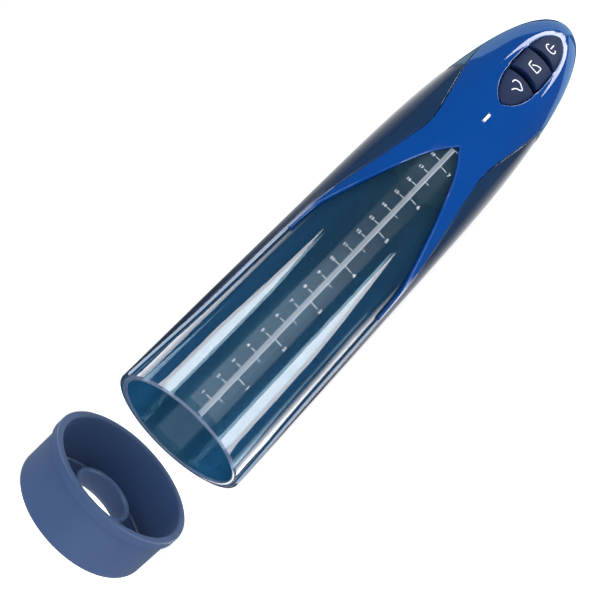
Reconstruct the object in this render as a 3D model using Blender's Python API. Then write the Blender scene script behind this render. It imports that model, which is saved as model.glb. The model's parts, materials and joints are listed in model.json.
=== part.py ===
"""Hand-held motorised vacuum pump: clear graduated cylinder, motor head and a loose soft sleeve.

The pump lies on its side. +X runs along its axis from the open mouth to the rounded tip, its
front (scale, indicator and buttons) faces -Y, and +Z is up. The sleeve lies beside the mouth.
Inside the head, lengths are stated in the pump's own frame: x from the mouth, y and z from the axis.
Run: blender --background --python part.py
"""

import math

import bmesh
import bpy
from mathutils import Matrix, Vector

MM = 0.001

# ------------------------------------------------------------------ driving dimensions (metres)
PUMP_LENGTH = 322 * MM
MOUTH_RADIUS = 35.2 * MM          # outside of the rear casing at the mouth
SIDE_TAPER = 0.004                # radius lost per metre of length
NOSE_START = 150 * MM             # where the straight side starts to round into the nose
NOSE_POWER = 2.7
NOSE_ROOT = 2.25

GAP = 0.3 * MM                    # between pieces that touch
TUBE_GAP = 0.45 * MM              # round the cylinder
ARM_SKIN = 1.2 * MM               # casing and cover over the cylinder
HEAD_SKIN = 2.0 * MM              # casing and cover over the head
TUBE_WALL = 2.7 * MM
TUBE_LENGTH = 200 * MM
TUBE_LIP = 0.8 * MM

SLEEVE_LIP_RADIUS = 37.8 * MM
SLEEVE_TURN = math.radians(43.3)  # how far the loose sleeve is turned away from the mouth

# ------------------------------------------------------------------ where the pieces lie
MOUTH_X = -126.10 * MM
AXIS_Y = -18.92 * MM
AXIS_Z = MOUTH_RADIUS

SLEEVE_RIM = Vector((MOUTH_X - 24.0 * MM, AXIS_Y + 25.9 * MM, SLEEVE_LIP_RADIUS))
SLEEVE_FACING_GAP = 5 * MM        # left between the sleeve and the mouth when it faces the mouth

# ------------------------------------------------------------------ parting line and window
# Each pair is a distance from the mouth and an angle in degrees from the front of the pump.
PARTING_LINE = [(0, 78), (42, 67.4), (100, 63.4), (120, 62.0), (133, 57.4), (146, 51.2), (167, 42.2),
                (184, 36.4), (195, 33.9), (208, 37.0), (221, 43.0), (232, 49.0), (245, 57.0), (257, 64.5),
                (268, 73.5), (279, 90)]
WINDOW_EDGE = [(104, 61.6), (121, 57.8), (130, 50.4), (142.6, 40.4), (163, 26.2), (177, 16.5),
               (186, 8.2), (193, 0)]
ARM_START = 104 * MM
WINDOW_TIP = 193 * MM
WRAP_START = 279 * MM             # from here the cover closes behind the head
WRAP_END = 303 * MM
WRAP_POWER = 0.5
CASING_END = 302 * MM

# ------------------------------------------------------------------ buttons, indicator and board
LEAF_START = 230.8 * MM
LEAF_SIDES = (254.0 * MM, 276.2 * MM)
LEAF_END = 300.0 * MM
LEAF_HALF_WIDTH = 9.9 * MM
LEAF_POWER = 0.7
BUTTON_CLEARANCE = 0.4 * MM
BUTTON_PROUD = 0.5 * MM
BUTTON_DEPTH = 2.8 * MM
BUTTON_TRAVEL = 0.8 * MM
BUTTON_BOW = 1.2 * MM             # how far the gaps between the buttons curve toward the tip
BUTTONS = {                       # start, end and stem position
    "suction_button": (231.2 * MM, 252.9 * MM, 245 * MM),
    "release_button": (256.4 * MM, 274.6 * MM, 266 * MM),
    "power_button": (276.9 * MM, 299.6 * MM, 283 * MM),
}
STEM_WIDTH = 4 * MM

INDICATOR_X = 217.9 * MM
INDICATOR_SIZE = (6.0 * MM, 1.6 * MM)

BOARD_X = (209 * MM, 289 * MM)
BOARD_HALF_WIDTH = 9 * MM
BOARD_FRONT = -14.2 * MM
BOARD_THICKNESS = 1.6 * MM
SWITCH_SIZE = 6 * MM
SWITCH_HEIGHT = 3.1 * MM
SWITCH_PLUNGER = 0.8 * MM
SCREW_SPOTS = [(212 * MM, side * 6.5 * MM) for side in (-1, 1)] + [
    (286 * MM, side * 6.5 * MM) for side in (-1, 1)]

# ------------------------------------------------------------------ motor, pump, valve and battery
MOTOR_AXIS = (6 * MM, -13 * MM)
MOTOR_RADIUS = 10.2 * MM
MOTOR_X = (233 * MM, 256 * MM)
SHAFT_RADIUS = 1.0 * MM
BATTERY_AXIS = (6 * MM, 13 * MM)
BATTERY_RADIUS = 7.2 * MM
BATTERY_X = (208 * MM, 258 * MM)
VALVE_AXIS = (6 * MM, -12 * MM)
VALVE_RADIUS = 5 * MM
VALVE_X = (263 * MM, 280 * MM)
VALVE_TRAVEL = 1.5 * MM
RELEASE_LINE = (6 * MM, 0.7 * MM)
VACUUM_LINE = MOTOR_AXIS
NIPPLE_RADIUS = 1.45 * MM
HOSE_INNER = 1.75 * MM
HOSE_OUTER = 2.2 * MM
PLATE_X = (TUBE_LENGTH + GAP, TUBE_LENGTH + 3.3 * MM)
CHASSIS_Y = (-11.5 * MM, -9.5 * MM)
SOCKET_X = 240 * MM
SOCKET_Z = 1 * MM

ROUND = 24                        # sides of small round pieces
BIG_ROUND = 48                    # sides of the cylinder and the sleeve


# ------------------------------------------------------------------ small helpers
def remove_everything():
    for thing in list(bpy.data.objects):
        bpy.data.objects.remove(thing, do_unlink=True)


def make_material(name, colour, roughness, metallic=0.0, alpha=1.0):
    material = bpy.data.materials.new(name)
    material.use_nodes = True
    shader = material.node_tree.nodes["Principled BSDF"]
    shader.inputs["Base Color"].default_value = (*colour, 1.0)
    shader.inputs["Roughness"].default_value = roughness
    shader.inputs["Metallic"].default_value = metallic
    shader.inputs["Alpha"].default_value = alpha
    material.diffuse_color = (*colour, alpha)
    return material


def make_empty(name, location, parent=None):
    empty = bpy.data.objects.new(name, None)
    empty.location = location
    empty.parent = parent
    bpy.context.scene.collection.objects.link(empty)
    return empty


def make_object(name, bm, material, parent, origin=(0, 0, 0)):
    """Turn a bmesh drawn in the parent's frame into an object whose origin is at `origin`."""
    bmesh.ops.remove_doubles(bm, verts=bm.verts, dist=0.001 * MM)
    bmesh.ops.recalc_face_normals(bm, faces=bm.faces)
    bmesh.ops.translate(bm, verts=bm.verts, vec=-Vector(origin))
    mesh = bpy.data.meshes.new(name)
    bm.to_mesh(mesh)
    bm.free()
    mesh.materials.append(material)
    mesh.shade_smooth()
    mesh.set_sharp_from_angle(angle=math.radians(35))
    thing = bpy.data.objects.new(name, mesh)
    thing.location = origin
    thing.parent = parent
    bpy.context.scene.collection.objects.link(thing)
    return thing


def make_cutter(name, bm, parent):
    cutter = make_object(name, bm, MATERIALS["guide"], parent)
    cutter.hide_render = True
    cutter.display_type = "WIRE"
    return cutter


def boolean(thing, other, operation):
    modifier = thing.modifiers.new(f"{operation.lower()} {other.name}", "BOOLEAN")
    modifier.operation = operation
    modifier.object = other
    modifier.solver = "EXACT"


def soften(thing, width, segments=2, angle=40):
    modifier = thing.modifiers.new("soft edges", "BEVEL")
    modifier.width = width
    modifier.segments = segments
    modifier.limit_method = "ANGLE"
    modifier.angle_limit = math.radians(angle)
    modifier.use_clamp_overlap = True


def add_box(bm, x_span, y_span, z_span):
    """Add a box that fills the three spans."""
    centre = [(span[0] + span[1]) / 2 for span in (x_span, y_span, z_span)]
    size = [abs(span[1] - span[0]) for span in (x_span, y_span, z_span)]
    placing = Matrix.Translation(centre) @ Matrix.Diagonal((*size, 1.0))
    bmesh.ops.create_cube(bm, size=1.0, matrix=placing)


def span_around(middle, width):
    return (middle - width / 2, middle + width / 2)


def add_turned(bm, profile, centre=(0, 0), sides=ROUND):
    """Turn a closed (x, radius) outline about a line parallel to X through centre = (y, z)."""
    rings = []
    for step in range(sides):
        angle = 2 * math.pi * step / sides
        ring = []
        for x, radius in profile:
            y = centre[0] - radius * math.cos(angle)
            z = centre[1] + radius * math.sin(angle)
            ring.append(bm.verts.new((x, y, z)))
        rings.append(ring)
    for step in range(sides):
        here = rings[step]
        there = rings[(step + 1) % sides]
        for index in range(len(profile)):
            after = (index + 1) % len(profile)
            on_axis = profile[index][1] == 0 and profile[after][1] == 0
            if not on_axis:
                bm.faces.new((here[index], here[after], there[after], there[index]))


def add_rod(bm, x_span, radius, centre=(0, 0), sides=ROUND):
    profile = [(x_span[0], 0), (x_span[0], radius), (x_span[1], radius), (x_span[1], 0)]
    add_turned(bm, profile, centre, sides)


def turned(name, profile, material, parent, centre=(0, 0), sides=ROUND, origin=None):
    bm = bmesh.new()
    add_turned(bm, profile, centre, sides)
    return make_object(name, bm, material, parent, origin or (profile[0][0], *centre))


def arc_points(centre, radius, start, end, count):
    """Points on an arc in the (x, radius) plane, angles in degrees from +X."""
    points = []
    for step in range(count + 1):
        angle = math.radians(start + (end - start) * step / count)
        points.append((centre[0] + radius * math.cos(angle), centre[1] + radius * math.sin(angle)))
    return points


def smooth_route(points, steps=8):
    """A Catmull-Rom curve through the points."""
    knots = [Vector(point) for point in points]
    knots = [2 * knots[0] - knots[1]] + knots + [2 * knots[-1] - knots[-2]]
    route = []
    for index in range(1, len(knots) - 2):
        a, b, c, d = knots[index - 1:index + 3]
        for step in range(steps):
            t = step / steps
            route.append(0.5 * (2 * b + (c - a) * t + (2 * a - 5 * b + 4 * c - d) * t ** 2
                                + (3 * b - a - 3 * c + d) * t ** 3))
    route.append(knots[-2])
    return route


def add_pipe(bm, route, outer, inner=0.0, sides=12):
    """Sweep a ring, or a disc when inner is 0, along the route."""
    tangents = [(route[min(i + 1, len(route) - 1)] - route[max(i - 1, 0)]).normalized()
                for i in range(len(route))]
    side = tangents[0].orthogonal().normalized()
    rows = []
    for place, tangent in zip(route, tangents):
        side = (side - side.dot(tangent) * tangent).normalized()
        other = tangent.cross(side)
        row = []
        for step in range(sides):
            angle = 2 * math.pi * step / sides
            out = math.cos(angle) * side + math.sin(angle) * other
            row.append((bm.verts.new(place + outer * out),
                        bm.verts.new(place + inner * out) if inner else None))
        rows.append(row)
    layers = (0, 1) if inner else (0,)
    for first, second in zip(rows, rows[1:]):
        for step in range(sides):
            after = (step + 1) % sides
            for layer in layers:
                bm.faces.new((first[step][layer], first[after][layer],
                              second[after][layer], second[step][layer]))
    for row in (rows[0], rows[-1]):
        if not inner:
            bm.faces.new([pair[0] for pair in row])
            continue
        for step in range(sides):
            after = (step + 1) % sides
            bm.faces.new((row[step][0], row[after][0], row[after][1], row[step][1]))


# ------------------------------------------------------------------ the shape of the pump's outside
def body_radius(x):
    """Outside radius of casing and cover at a distance x from the mouth."""
    side = MOUTH_RADIUS - SIDE_TAPER * x
    along = max(0.0, (x - NOSE_START) / (PUMP_LENGTH - NOSE_START))
    return side * max(0.0, 1 - along ** NOSE_POWER) ** (1 / NOSE_ROOT)


def body_normal(x):
    step = 0.05 * MM
    before = max(x - step, 0)
    after = min(x + step, PUMP_LENGTH)
    slope = Vector((after - before, body_radius(after) - body_radius(before)))
    return Vector((-slope.y, slope.x)).normalized()


def read_curve(points, x):
    """Height of a smooth curve through (mm, degrees) points, in radians."""
    x_mm = x / MM
    if x_mm <= points[0][0]:
        return math.radians(points[0][1])
    if x_mm >= points[-1][0]:
        return math.radians(points[-1][1])
    slopes = []
    for index in range(len(points)):
        low = points[max(index - 1, 0)]
        high = points[min(index + 1, len(points) - 1)]
        slopes.append((high[1] - low[1]) / (high[0] - low[0]))
    for index in range(len(points) - 1):
        (x0, y0), (x1, y1) = points[index], points[index + 1]
        if x0 <= x_mm <= x1:
            width = x1 - x0
            t = (x_mm - x0) / width
            value = ((1 + 2 * t) * (1 - t) ** 2 * y0 + t * (1 - t) ** 2 * width * slopes[index]
                     + t * t * (3 - 2 * t) * y1 + t * t * (t - 1) * width * slopes[index + 1])
            return math.radians(value)


def parting_angle(x):
    """Half-angle of the cover's outer edge."""
    if x <= WRAP_START:
        return read_curve(PARTING_LINE, x)
    left = max(0.0, (WRAP_END - x) / (WRAP_END - WRAP_START))
    return math.radians(180 - 90 * left ** WRAP_POWER)


def window_angle(x):
    """Half-angle of the window in the cover, 0 past its tip."""
    return 0.0 if x >= WINDOW_TIP else read_curve(WINDOW_EDGE, x)


def casing_angle(x):
    """Half-angle where the rear casing starts, a gap behind the cover."""
    gap_angle = 1.3 * GAP / max(body_radius(x), 10 * MM)
    return min(math.pi, parting_angle(x + GAP) + gap_angle)


def skin_thickness(x):
    along = min(1.0, max(0.0, (x - TUBE_LENGTH - 1 * MM) / (4 * MM)))
    return ARM_SKIN + (HEAD_SKIN - ARM_SKIN) * along * along * (3 - 2 * along)


def add_skin(bm, stations, start_angle, end_angle, columns):
    """A closed shell on the pump's outside between two angles, mirrored about the front."""
    for mirror in (1, -1):
        rows = []
        for x in stations:
            radius = body_radius(x)
            normal = body_normal(x)
            depth = skin_thickness(x)
            start, end = start_angle(x), end_angle(x)
            row = []
            for column in range(columns + 1):
                angle = mirror * (start + (end - start) * column / columns)
                pair = []
                for inset in (0.0, depth):
                    ring = max(0.0, radius - inset * normal.y)
                    pair.append(bm.verts.new((x - inset * normal.x, -ring * math.cos(angle),
                                              ring * math.sin(angle))))
                row.append(pair)
            rows.append((row, start > 0, end < math.pi - 1e-6))
        for (first, first_open, first_ends), (second, second_open, second_ends) in zip(rows, rows[1:]):
            for column in range(columns):
                for layer in (0, 1):
                    bm.faces.new((first[column][layer], first[column + 1][layer],
                                  second[column + 1][layer], second[column][layer]))
            for column, is_edge in ((0, first_open or second_open), (columns, first_ends or second_ends)):
                if is_edge:
                    bm.faces.new((first[column][0], first[column][1],
                                  second[column][1], second[column][0]))
        for row in (rows[0][0], rows[-1][0]):
            radius = math.hypot(row[0][0].co.y, row[0][0].co.z)
            if radius > 0.01 * MM:
                for column in range(columns):
                    bm.faces.new((row[column][0], row[column + 1][0], row[column + 1][1], row[column][1]))


def spread(start, end, count):
    return [start + (end - start) * step / count for step in range(count + 1)]


def wrap_stations():
    """Distances that close up toward the end of the casing, where its edge turns fast."""
    reach = CASING_END - WRAP_START
    return [CASING_END - reach * (1 - step / 7) ** 1.6 for step in range(8)]


def nose_stations(start, count):
    """Distances that close up toward the tip."""
    reach = PUMP_LENGTH - start
    return [start + reach * math.sin(math.pi / 2 * step / count) for step in range(count + 1)]


# ------------------------------------------------------------------ shells
def make_front_cover(pump):
    stations = spread(ARM_START, 180 * MM, 10)[:-1] + spread(180 * MM, WINDOW_TIP, 3)[:-1]
    stations += spread(WINDOW_TIP, WRAP_START, 12)[:-1] + wrap_stations() + nose_stations(WRAP_END, 6)
    bm = bmesh.new()
    add_skin(bm, stations, window_angle, parting_angle, 8)
    cover = make_object("front_cover", bm, MATERIALS["gloss_blue"], pump)
    boolean(cover, leaf_cutter(pump), "DIFFERENCE")
    boolean(cover, indicator_cutter(pump), "DIFFERENCE")
    return cover


def make_rear_casing(pump):
    stations = [0.4 * MM] + spread(30 * MM, ARM_START, 3)[:-1] + spread(ARM_START, WRAP_START, 16)[:-1]
    stations += wrap_stations()
    bm = bmesh.new()
    add_skin(bm, stations, casing_angle, lambda x: math.pi, 12)
    casing = make_object("rear_casing", bm, MATERIALS["smoke_casing"], pump)
    hole = bmesh.new()
    add_rod(hole, (-40 * MM, -20 * MM), 2.0 * MM, (-SOCKET_X, SOCKET_Z))
    bmesh.ops.rotate(hole, verts=hole.verts, cent=(0, 0, 0),
                     matrix=Matrix.Rotation(-math.pi / 2, 3, "Z"))
    boolean(casing, make_cutter("socket_hole_cutter", hole, pump), "DIFFERENCE")
    return casing


def make_cylinder_tube(pump):
    outer = [(x, body_radius(x) - ARM_SKIN - TUBE_GAP) for x in [TUBE_LIP] + spread(80 * MM, TUBE_LENGTH, 3)]
    inner = [(x, radius - TUBE_WALL) for x, radius in reversed(outer)]
    mouth = outer[0][1]
    lip_inside = arc_points((TUBE_LIP, mouth - TUBE_WALL + TUBE_LIP), TUBE_LIP, 270, 180, 3)
    lip_outside = arc_points((TUBE_LIP, mouth - TUBE_LIP), TUBE_LIP, 180, 90, 3)
    profile = outer + inner[:-1] + lip_inside + lip_outside[:-1]
    return turned("cylinder_tube", profile, MATERIALS["smoke_clear"], pump, sides=BIG_ROUND)


# ------------------------------------------------------------------ buttons and what they press
def leaf_half_width(x, inset):
    """Half-width of the leaf-shaped button opening, or of the same leaf made smaller by inset."""
    width = LEAF_HALF_WIDTH - inset
    low = (LEAF_SIDES[0] - x) / (LEAF_SIDES[0] - LEAF_START - inset)
    high = (x - LEAF_SIDES[1]) / (LEAF_END - inset - LEAF_SIDES[1])
    along = max(0.0, low, high)
    return max(0.4 * MM, width * max(0.0, 1 - along * along) ** LEAF_POWER)


def leaf_stations(inset, count):
    start = LEAF_START + inset
    end = LEAF_END - inset
    return [start + (end - start) * (1 - math.cos(math.pi * step / count)) / 2
            for step in range(count + 1)]


def leaf_cutter(pump):
    bm = bmesh.new()
    outline = [(x, leaf_half_width(x, 0)) for x in leaf_stations(0, 24)]
    outline += [(x, -width) for x, width in reversed(outline)]
    deep = [bm.verts.new((x, -12 * MM, z)) for x, z in outline]
    proud = [bm.verts.new((x, -40 * MM, z)) for x, z in outline]
    bm.faces.new(deep)
    bm.faces.new(list(reversed(proud)))
    for index in range(len(outline)):
        after = (index + 1) % len(outline)
        bm.faces.new((deep[index], deep[after], proud[after], proud[index]))
    return make_cutter("leaf_cutter", bm, pump)


def indicator_cutter(pump):
    bm = bmesh.new()
    clearance = 2 * GAP
    add_box(bm, span_around(INDICATOR_X, INDICATOR_SIZE[0] + clearance), (-40 * MM, -24 * MM),
            span_around(0, INDICATOR_SIZE[1] + clearance))
    return make_cutter("indicator_cutter", bm, pump)


def front_surface(x, z, raised=0.0):
    """The y of the pump's front at (x, z), moved outward by raised."""
    radius = body_radius(x) + raised
    return -math.sqrt(max(radius * radius - z * z, 0.0))


def add_curved_plate(bm, low_edge, high_edge, half_width, top, bottom, rows, columns):
    """A plate on the curved front. Edges give x from -1..1 across, top and bottom give y."""
    grid = []
    for row in range(rows + 1):
        line = []
        for column in range(columns + 1):
            across = -1 + 2 * column / columns
            x = low_edge(across) + (high_edge(across) - low_edge(across)) * row / rows
            z = across * half_width(x)
            line.append((bm.verts.new((x, top(x, z), z)), bm.verts.new((x, bottom(x, z), z))))
        grid.append(line)
    for row in range(rows):
        for column in range(columns):
            for layer in (0, 1):
                bm.faces.new((grid[row][column][layer], grid[row + 1][column][layer],
                              grid[row + 1][column + 1][layer], grid[row][column + 1][layer]))
    border = [grid[0][column] for column in range(columns)]
    border += [grid[row][columns] for row in range(rows)]
    border += [grid[rows][column] for column in range(columns, 0, -1)]
    border += [grid[row][0] for row in range(rows, 0, -1)]
    for index in range(len(border)):
        here, there = border[index], border[(index + 1) % len(border)]
        bm.faces.new((here[0], there[0], there[1], here[1]))


def stem_end():
    return BOARD_FRONT - GAP - SWITCH_HEIGHT - SWITCH_PLUNGER - BUTTON_TRAVEL - GAP


def make_button(name, pump):
    start, end, stem_x = BUTTONS[name]
    low_bow = 0.0 if name == "suction_button" else BUTTON_BOW
    high_bow = 0.0 if name == "power_button" else BUTTON_BOW
    bm = bmesh.new()
    add_curved_plate(
        bm,
        lambda across: start + low_bow * (1 - across * across),
        lambda across: end + high_bow * (1 - across * across),
        lambda x: leaf_half_width(x, BUTTON_CLEARANCE),
        lambda x, z: front_surface(x, z, BUTTON_PROUD),
        lambda x, z: front_surface(x, z) + BUTTON_DEPTH,
        8, 6)
    button = make_object(name, bm, MATERIALS["navy_soft"], pump, (stem_x, front_surface(stem_x, 0), 0))
    stem = bmesh.new()
    add_box(stem, span_around(stem_x, STEM_WIDTH), (front_surface(stem_x, 0) + 1.5 * MM, stem_end()),
            span_around(0, STEM_WIDTH))
    soften(button, 0.5 * MM, 2, 50)
    boolean(button, make_cutter(name + "_stem", stem, pump), "UNION")
    return button


def make_button_seal(pump):
    def depth(x, z):
        lean = body_normal(x).y * math.sqrt(1 - (z / body_radius(x)) ** 2)
        inside = (leaf_half_width(x, -2.5 * MM) - abs(z)) / (1.2 * MM)
        inside = min(1.0, max(0.0, inside))
        return (HEAD_SKIN + 1.5 * GAP) / lean + 1.6 * MM * inside * inside * (3 - 2 * inside)

    bm = bmesh.new()
    add_curved_plate(
        bm,
        lambda across: LEAF_START - 3.5 * MM,
        lambda across: LEAF_END + 3 * MM,
        lambda x: max(3 * MM, leaf_half_width(x, -3.4 * MM)),
        lambda x, z: front_surface(x, z) + depth(x, z),
        lambda x, z: front_surface(x, z) + depth(x, z) + 0.8 * MM,
        22, 8)
    seal = make_object("button_seal", bm, MATERIALS["navy_seal"], pump)
    for name, (_, _, stem_x) in BUTTONS.items():
        hole = bmesh.new()
        add_box(hole, span_around(stem_x, STEM_WIDTH + 1 * MM), (-32 * MM, -15 * MM),
                span_around(0, STEM_WIDTH + 1 * MM))
        boolean(seal, make_cutter(name + "_seal_hole", hole, pump), "DIFFERENCE")
    return seal


def turn_to_front(bm):
    """Turn what was drawn about X so that its +X points to the front, -Y."""
    bmesh.ops.rotate(bm, verts=bm.verts, cent=(0, 0, 0), matrix=Matrix.Rotation(-math.pi / 2, 3, "Z"))


def make_switches(pump):
    for name, (_, _, stem_x) in BUTTONS.items():
        base = BOARD_FRONT - GAP
        top = base - SWITCH_HEIGHT
        bm = bmesh.new()
        half = SWITCH_SIZE / 2
        square = [(x, z) for x, z in ((-half, -half), (half, -half), (half, half), (-half, half))]
        lower = [bm.verts.new((stem_x + x, base, z)) for x, z in square]
        upper = [bm.verts.new((stem_x + x, top, z)) for x, z in square]
        bm.faces.new(lower)
        for index in range(4):
            after = (index + 1) % 4
            bm.faces.new((lower[index], lower[after], upper[after], upper[index]))
        lid = bm.faces.new(upper)
        bmesh.ops.inset_individual(bm, faces=[lid], thickness=1.5 * MM)
        raised = bmesh.ops.extrude_discrete_faces(bm, faces=[lid])["faces"]
        bmesh.ops.translate(bm, verts=raised[0].verts, vec=(0, -SWITCH_PLUNGER, 0))
        make_object(name.replace("button", "switch"), bm, MATERIALS["switch_black"], pump)


def make_indicator(pump):
    bm = bmesh.new()
    add_box(bm, span_around(INDICATOR_X, INDICATOR_SIZE[0]),
            (BOARD_FRONT - 1.7 * MM, front_surface(INDICATOR_X, 0) - 0.1 * MM),
            span_around(0, INDICATOR_SIZE[1]))
    pipe = make_object("indicator_light_pipe", bm, MATERIALS["white_lens"], pump)
    soften(pipe, 0.35 * MM)
    bm = bmesh.new()
    add_box(bm, span_around(INDICATOR_X, 3.2 * MM), (BOARD_FRONT - GAP, BOARD_FRONT - 1.4 * MM),
            span_around(0, 1.6 * MM))
    make_object("indicator_led", bm, MATERIALS["white_lens"], pump)


def make_control_board(pump):
    bm = bmesh.new()
    add_box(bm, BOARD_X, (BOARD_FRONT, BOARD_FRONT + BOARD_THICKNESS),
            (-BOARD_HALF_WIDTH, BOARD_HALF_WIDTH))
    board = make_object("control_board", bm, MATERIALS["board_green"], pump)
    for index, (x, z) in enumerate(SCREW_SPOTS):
        hole = bmesh.new()
        add_rod(hole, (5 * MM, 20 * MM), 1.2 * MM, (x, z), 12)
        turn_to_front(hole)
        boolean(board, make_cutter(f"board_hole_{index}", hole, pump), "DIFFERENCE")
    seat = -BOARD_FRONT + GAP
    for index, spot in enumerate(SCREW_SPOTS):
        screw = bmesh.new()
        add_turned(screw, screw_profile(seat, 4.4 * MM), spot, 12)
        turn_to_front(screw)
        make_object(f"board_screw_{index + 1}", screw, MATERIALS["screw_steel"], pump)


# ------------------------------------------------------------------ inner frame
def screw_profile(seat, length):
    """A small pan-head screw whose head sits at x = seat and whose shank points toward -X."""
    shank, head = 0.9 * MM, 1.7 * MM
    top = seat + 1.2 * MM
    return [(seat - length, 0), (seat - length, shank), (seat, shank), (seat, head), (top, head), (top, 0)]


def make_inner_chassis(pump):
    bm = bmesh.new()
    outline = [(203.6, -17), (262, -17), (289.5, -11), (289.5, 11), (262, 17), (203.6, 17)]
    back = [bm.verts.new((x * MM, CHASSIS_Y[1], z * MM)) for x, z in outline]
    front = [bm.verts.new((x * MM, CHASSIS_Y[0], z * MM)) for x, z in outline]
    bm.faces.new(back)
    bm.faces.new(list(reversed(front)))
    for index in range(len(outline)):
        after = (index + 1) % len(outline)
        bm.faces.new((back[index], back[after], front[after], front[index]))
    chassis = make_object("inner_chassis", bm, MATERIALS["frame_grey"], pump)
    posts = bmesh.new()
    for x, z in SCREW_SPOTS:
        add_rod(posts, (10 * MM, -BOARD_FRONT - BOARD_THICKNESS - GAP), 2.3 * MM, (x, z), 12)
    turn_to_front(posts)
    boolean(chassis, make_cutter("chassis_posts", posts, pump), "UNION")
    tab = bmesh.new()
    add_box(tab, (203.6 * MM, 205.6 * MM), (-22 * MM, -10 * MM), (-14 * MM, 14 * MM))
    boolean(chassis, make_cutter("chassis_tab", tab, pump), "UNION")
    holes = bmesh.new()
    for x, z in SCREW_SPOTS:
        add_rod(holes, (9 * MM, 20 * MM), 1.2 * MM, (x, z), 12)
    turn_to_front(holes)
    for side in (-1, 1):
        add_rod(holes, (203 * MM, 206 * MM), 1.2 * MM, (-19.5 * MM, side * 10 * MM), 12)
    boolean(chassis, make_cutter("chassis_holes", holes, pump), "DIFFERENCE")
    for index, side in enumerate((-1, 1)):
        turned(f"plate_screw_{index + 1}", screw_profile(205.6 * MM + GAP, 4.7 * MM),
               MATERIALS["screw_steel"], pump, (-19.5 * MM, side * 10 * MM), 12)


def make_cradle(name, pump, x_span, z_span, axis, radius):
    """A saddle block under the chassis with a round seat."""
    bm = bmesh.new()
    add_box(bm, x_span, (CHASSIS_Y[1] + GAP, axis[0] - 3 * MM), z_span)
    cradle = make_object(name, bm, MATERIALS["frame_grey"], pump)
    seat = bmesh.new()
    add_rod(seat, (x_span[0] - 5 * MM, x_span[1] + 5 * MM), radius + GAP, axis, 48)
    boolean(cradle, make_cutter(name + "_seat", seat, pump), "DIFFERENCE")


# ------------------------------------------------------------------ end of the cylinder
def make_tube_end_plate(pump):
    bore = body_radius(TUBE_LENGTH) - ARM_SKIN - TUBE_GAP - TUBE_WALL
    spigot = bore - 0.4 * MM
    groove = spigot - 1.5 * MM
    rim = body_radius(PLATE_X[1]) - HEAD_SKIN - 2 * GAP
    face = TUBE_LENGTH - 5 * MM
    profile = [(face, 0), (face, spigot - 1 * MM), (face + 1 * MM, spigot),
               (TUBE_LENGTH - 3.4 * MM, spigot), (TUBE_LENGTH - 3.4 * MM, groove),
               (TUBE_LENGTH - 1.4 * MM, groove), (TUBE_LENGTH - 1.4 * MM, spigot),
               (PLATE_X[0], spigot), (PLATE_X[0], rim), (PLATE_X[1], rim), (PLATE_X[1], 0)]
    plate = turned("tube_end_plate", profile, MATERIALS["frame_grey"], pump, sides=BIG_ROUND)
    nipples = bmesh.new()
    for line in (VACUUM_LINE, RELEASE_LINE):
        add_rod(nipples, (PLATE_X[1] - 1 * MM, PLATE_X[1] + 4 * MM), NIPPLE_RADIUS, line, 20)
    boolean(plate, make_cutter("plate_nipples", nipples, pump), "UNION")
    holes = bmesh.new()
    for line in (VACUUM_LINE, RELEASE_LINE):
        add_rod(holes, (face - 5 * MM, PLATE_X[1] + 6 * MM), 0.8 * MM, line, 16)
    for side in (-1, 1):
        add_rod(holes, (200.9 * MM, 204 * MM), 1.2 * MM, (-19.5 * MM, side * 10 * MM), 12)
    boolean(plate, make_cutter("plate_holes", holes, pump), "DIFFERENCE")
    ring_radius = 0.6 * MM
    ring_centre = (TUBE_LENGTH - 2.4 * MM, spigot - 0.5 * MM)
    ring = arc_points(ring_centre, ring_radius, 360, 0, 6)[:-1]
    turned("tube_seal_ring", ring, MATERIALS["black_rubber"], pump, sides=BIG_ROUND)


# ------------------------------------------------------------------ motor and diaphragm pump
def make_motor(pump):
    start, end = MOTOR_X
    wall = 0.8 * MM
    radius = MOTOR_RADIUS
    can = [(start, 2.2 * MM), (start, radius), (end, radius), (end, radius - wall),
           (start + wall, radius - wall), (start + wall, 2.2 * MM)]
    turned("motor_can", can, MATERIALS["motor_steel"], pump, MOTOR_AXIS, 28)
    cap_end = end + GAP + 1.6 * MM
    cap = [(end - 1.5 * MM, 2.2 * MM), (end - 1.5 * MM, radius - wall - GAP),
           (end + GAP, radius - wall - GAP), (end + GAP, radius), (cap_end, radius), (cap_end, 2.2 * MM)]
    turned("motor_end_cap", cap, MATERIALS["switch_black"], pump, MOTOR_AXIS, 28)

    for index, middle in enumerate((0, math.pi)):
        magnet = bmesh.new()
        add_magnet(magnet, (start + 3 * MM, end - 3 * MM), radius - wall - GAP, 1.4 * MM, middle)
        make_object(f"motor_magnet_{index + 1}", magnet, MATERIALS["magnet_grey"], pump)

    core = 6.6 * MM
    rotor = [(227.6 * MM, 0), (227.6 * MM, SHAFT_RADIUS), (start + 4 * MM, SHAFT_RADIUS),
             (start + 4 * MM, core), (end - 5 * MM, core), (end - 5 * MM, 2.6 * MM),
             (end - 2.2 * MM, 2.6 * MM), (end - 2.2 * MM, SHAFT_RADIUS), (cap_end + 1 * MM, SHAFT_RADIUS),
             (cap_end + 1 * MM, 0)]
    turned("motor_rotor", rotor, MATERIALS["motor_steel"], pump, MOTOR_AXIS, 28,
           origin=(start, *MOTOR_AXIS))


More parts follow.
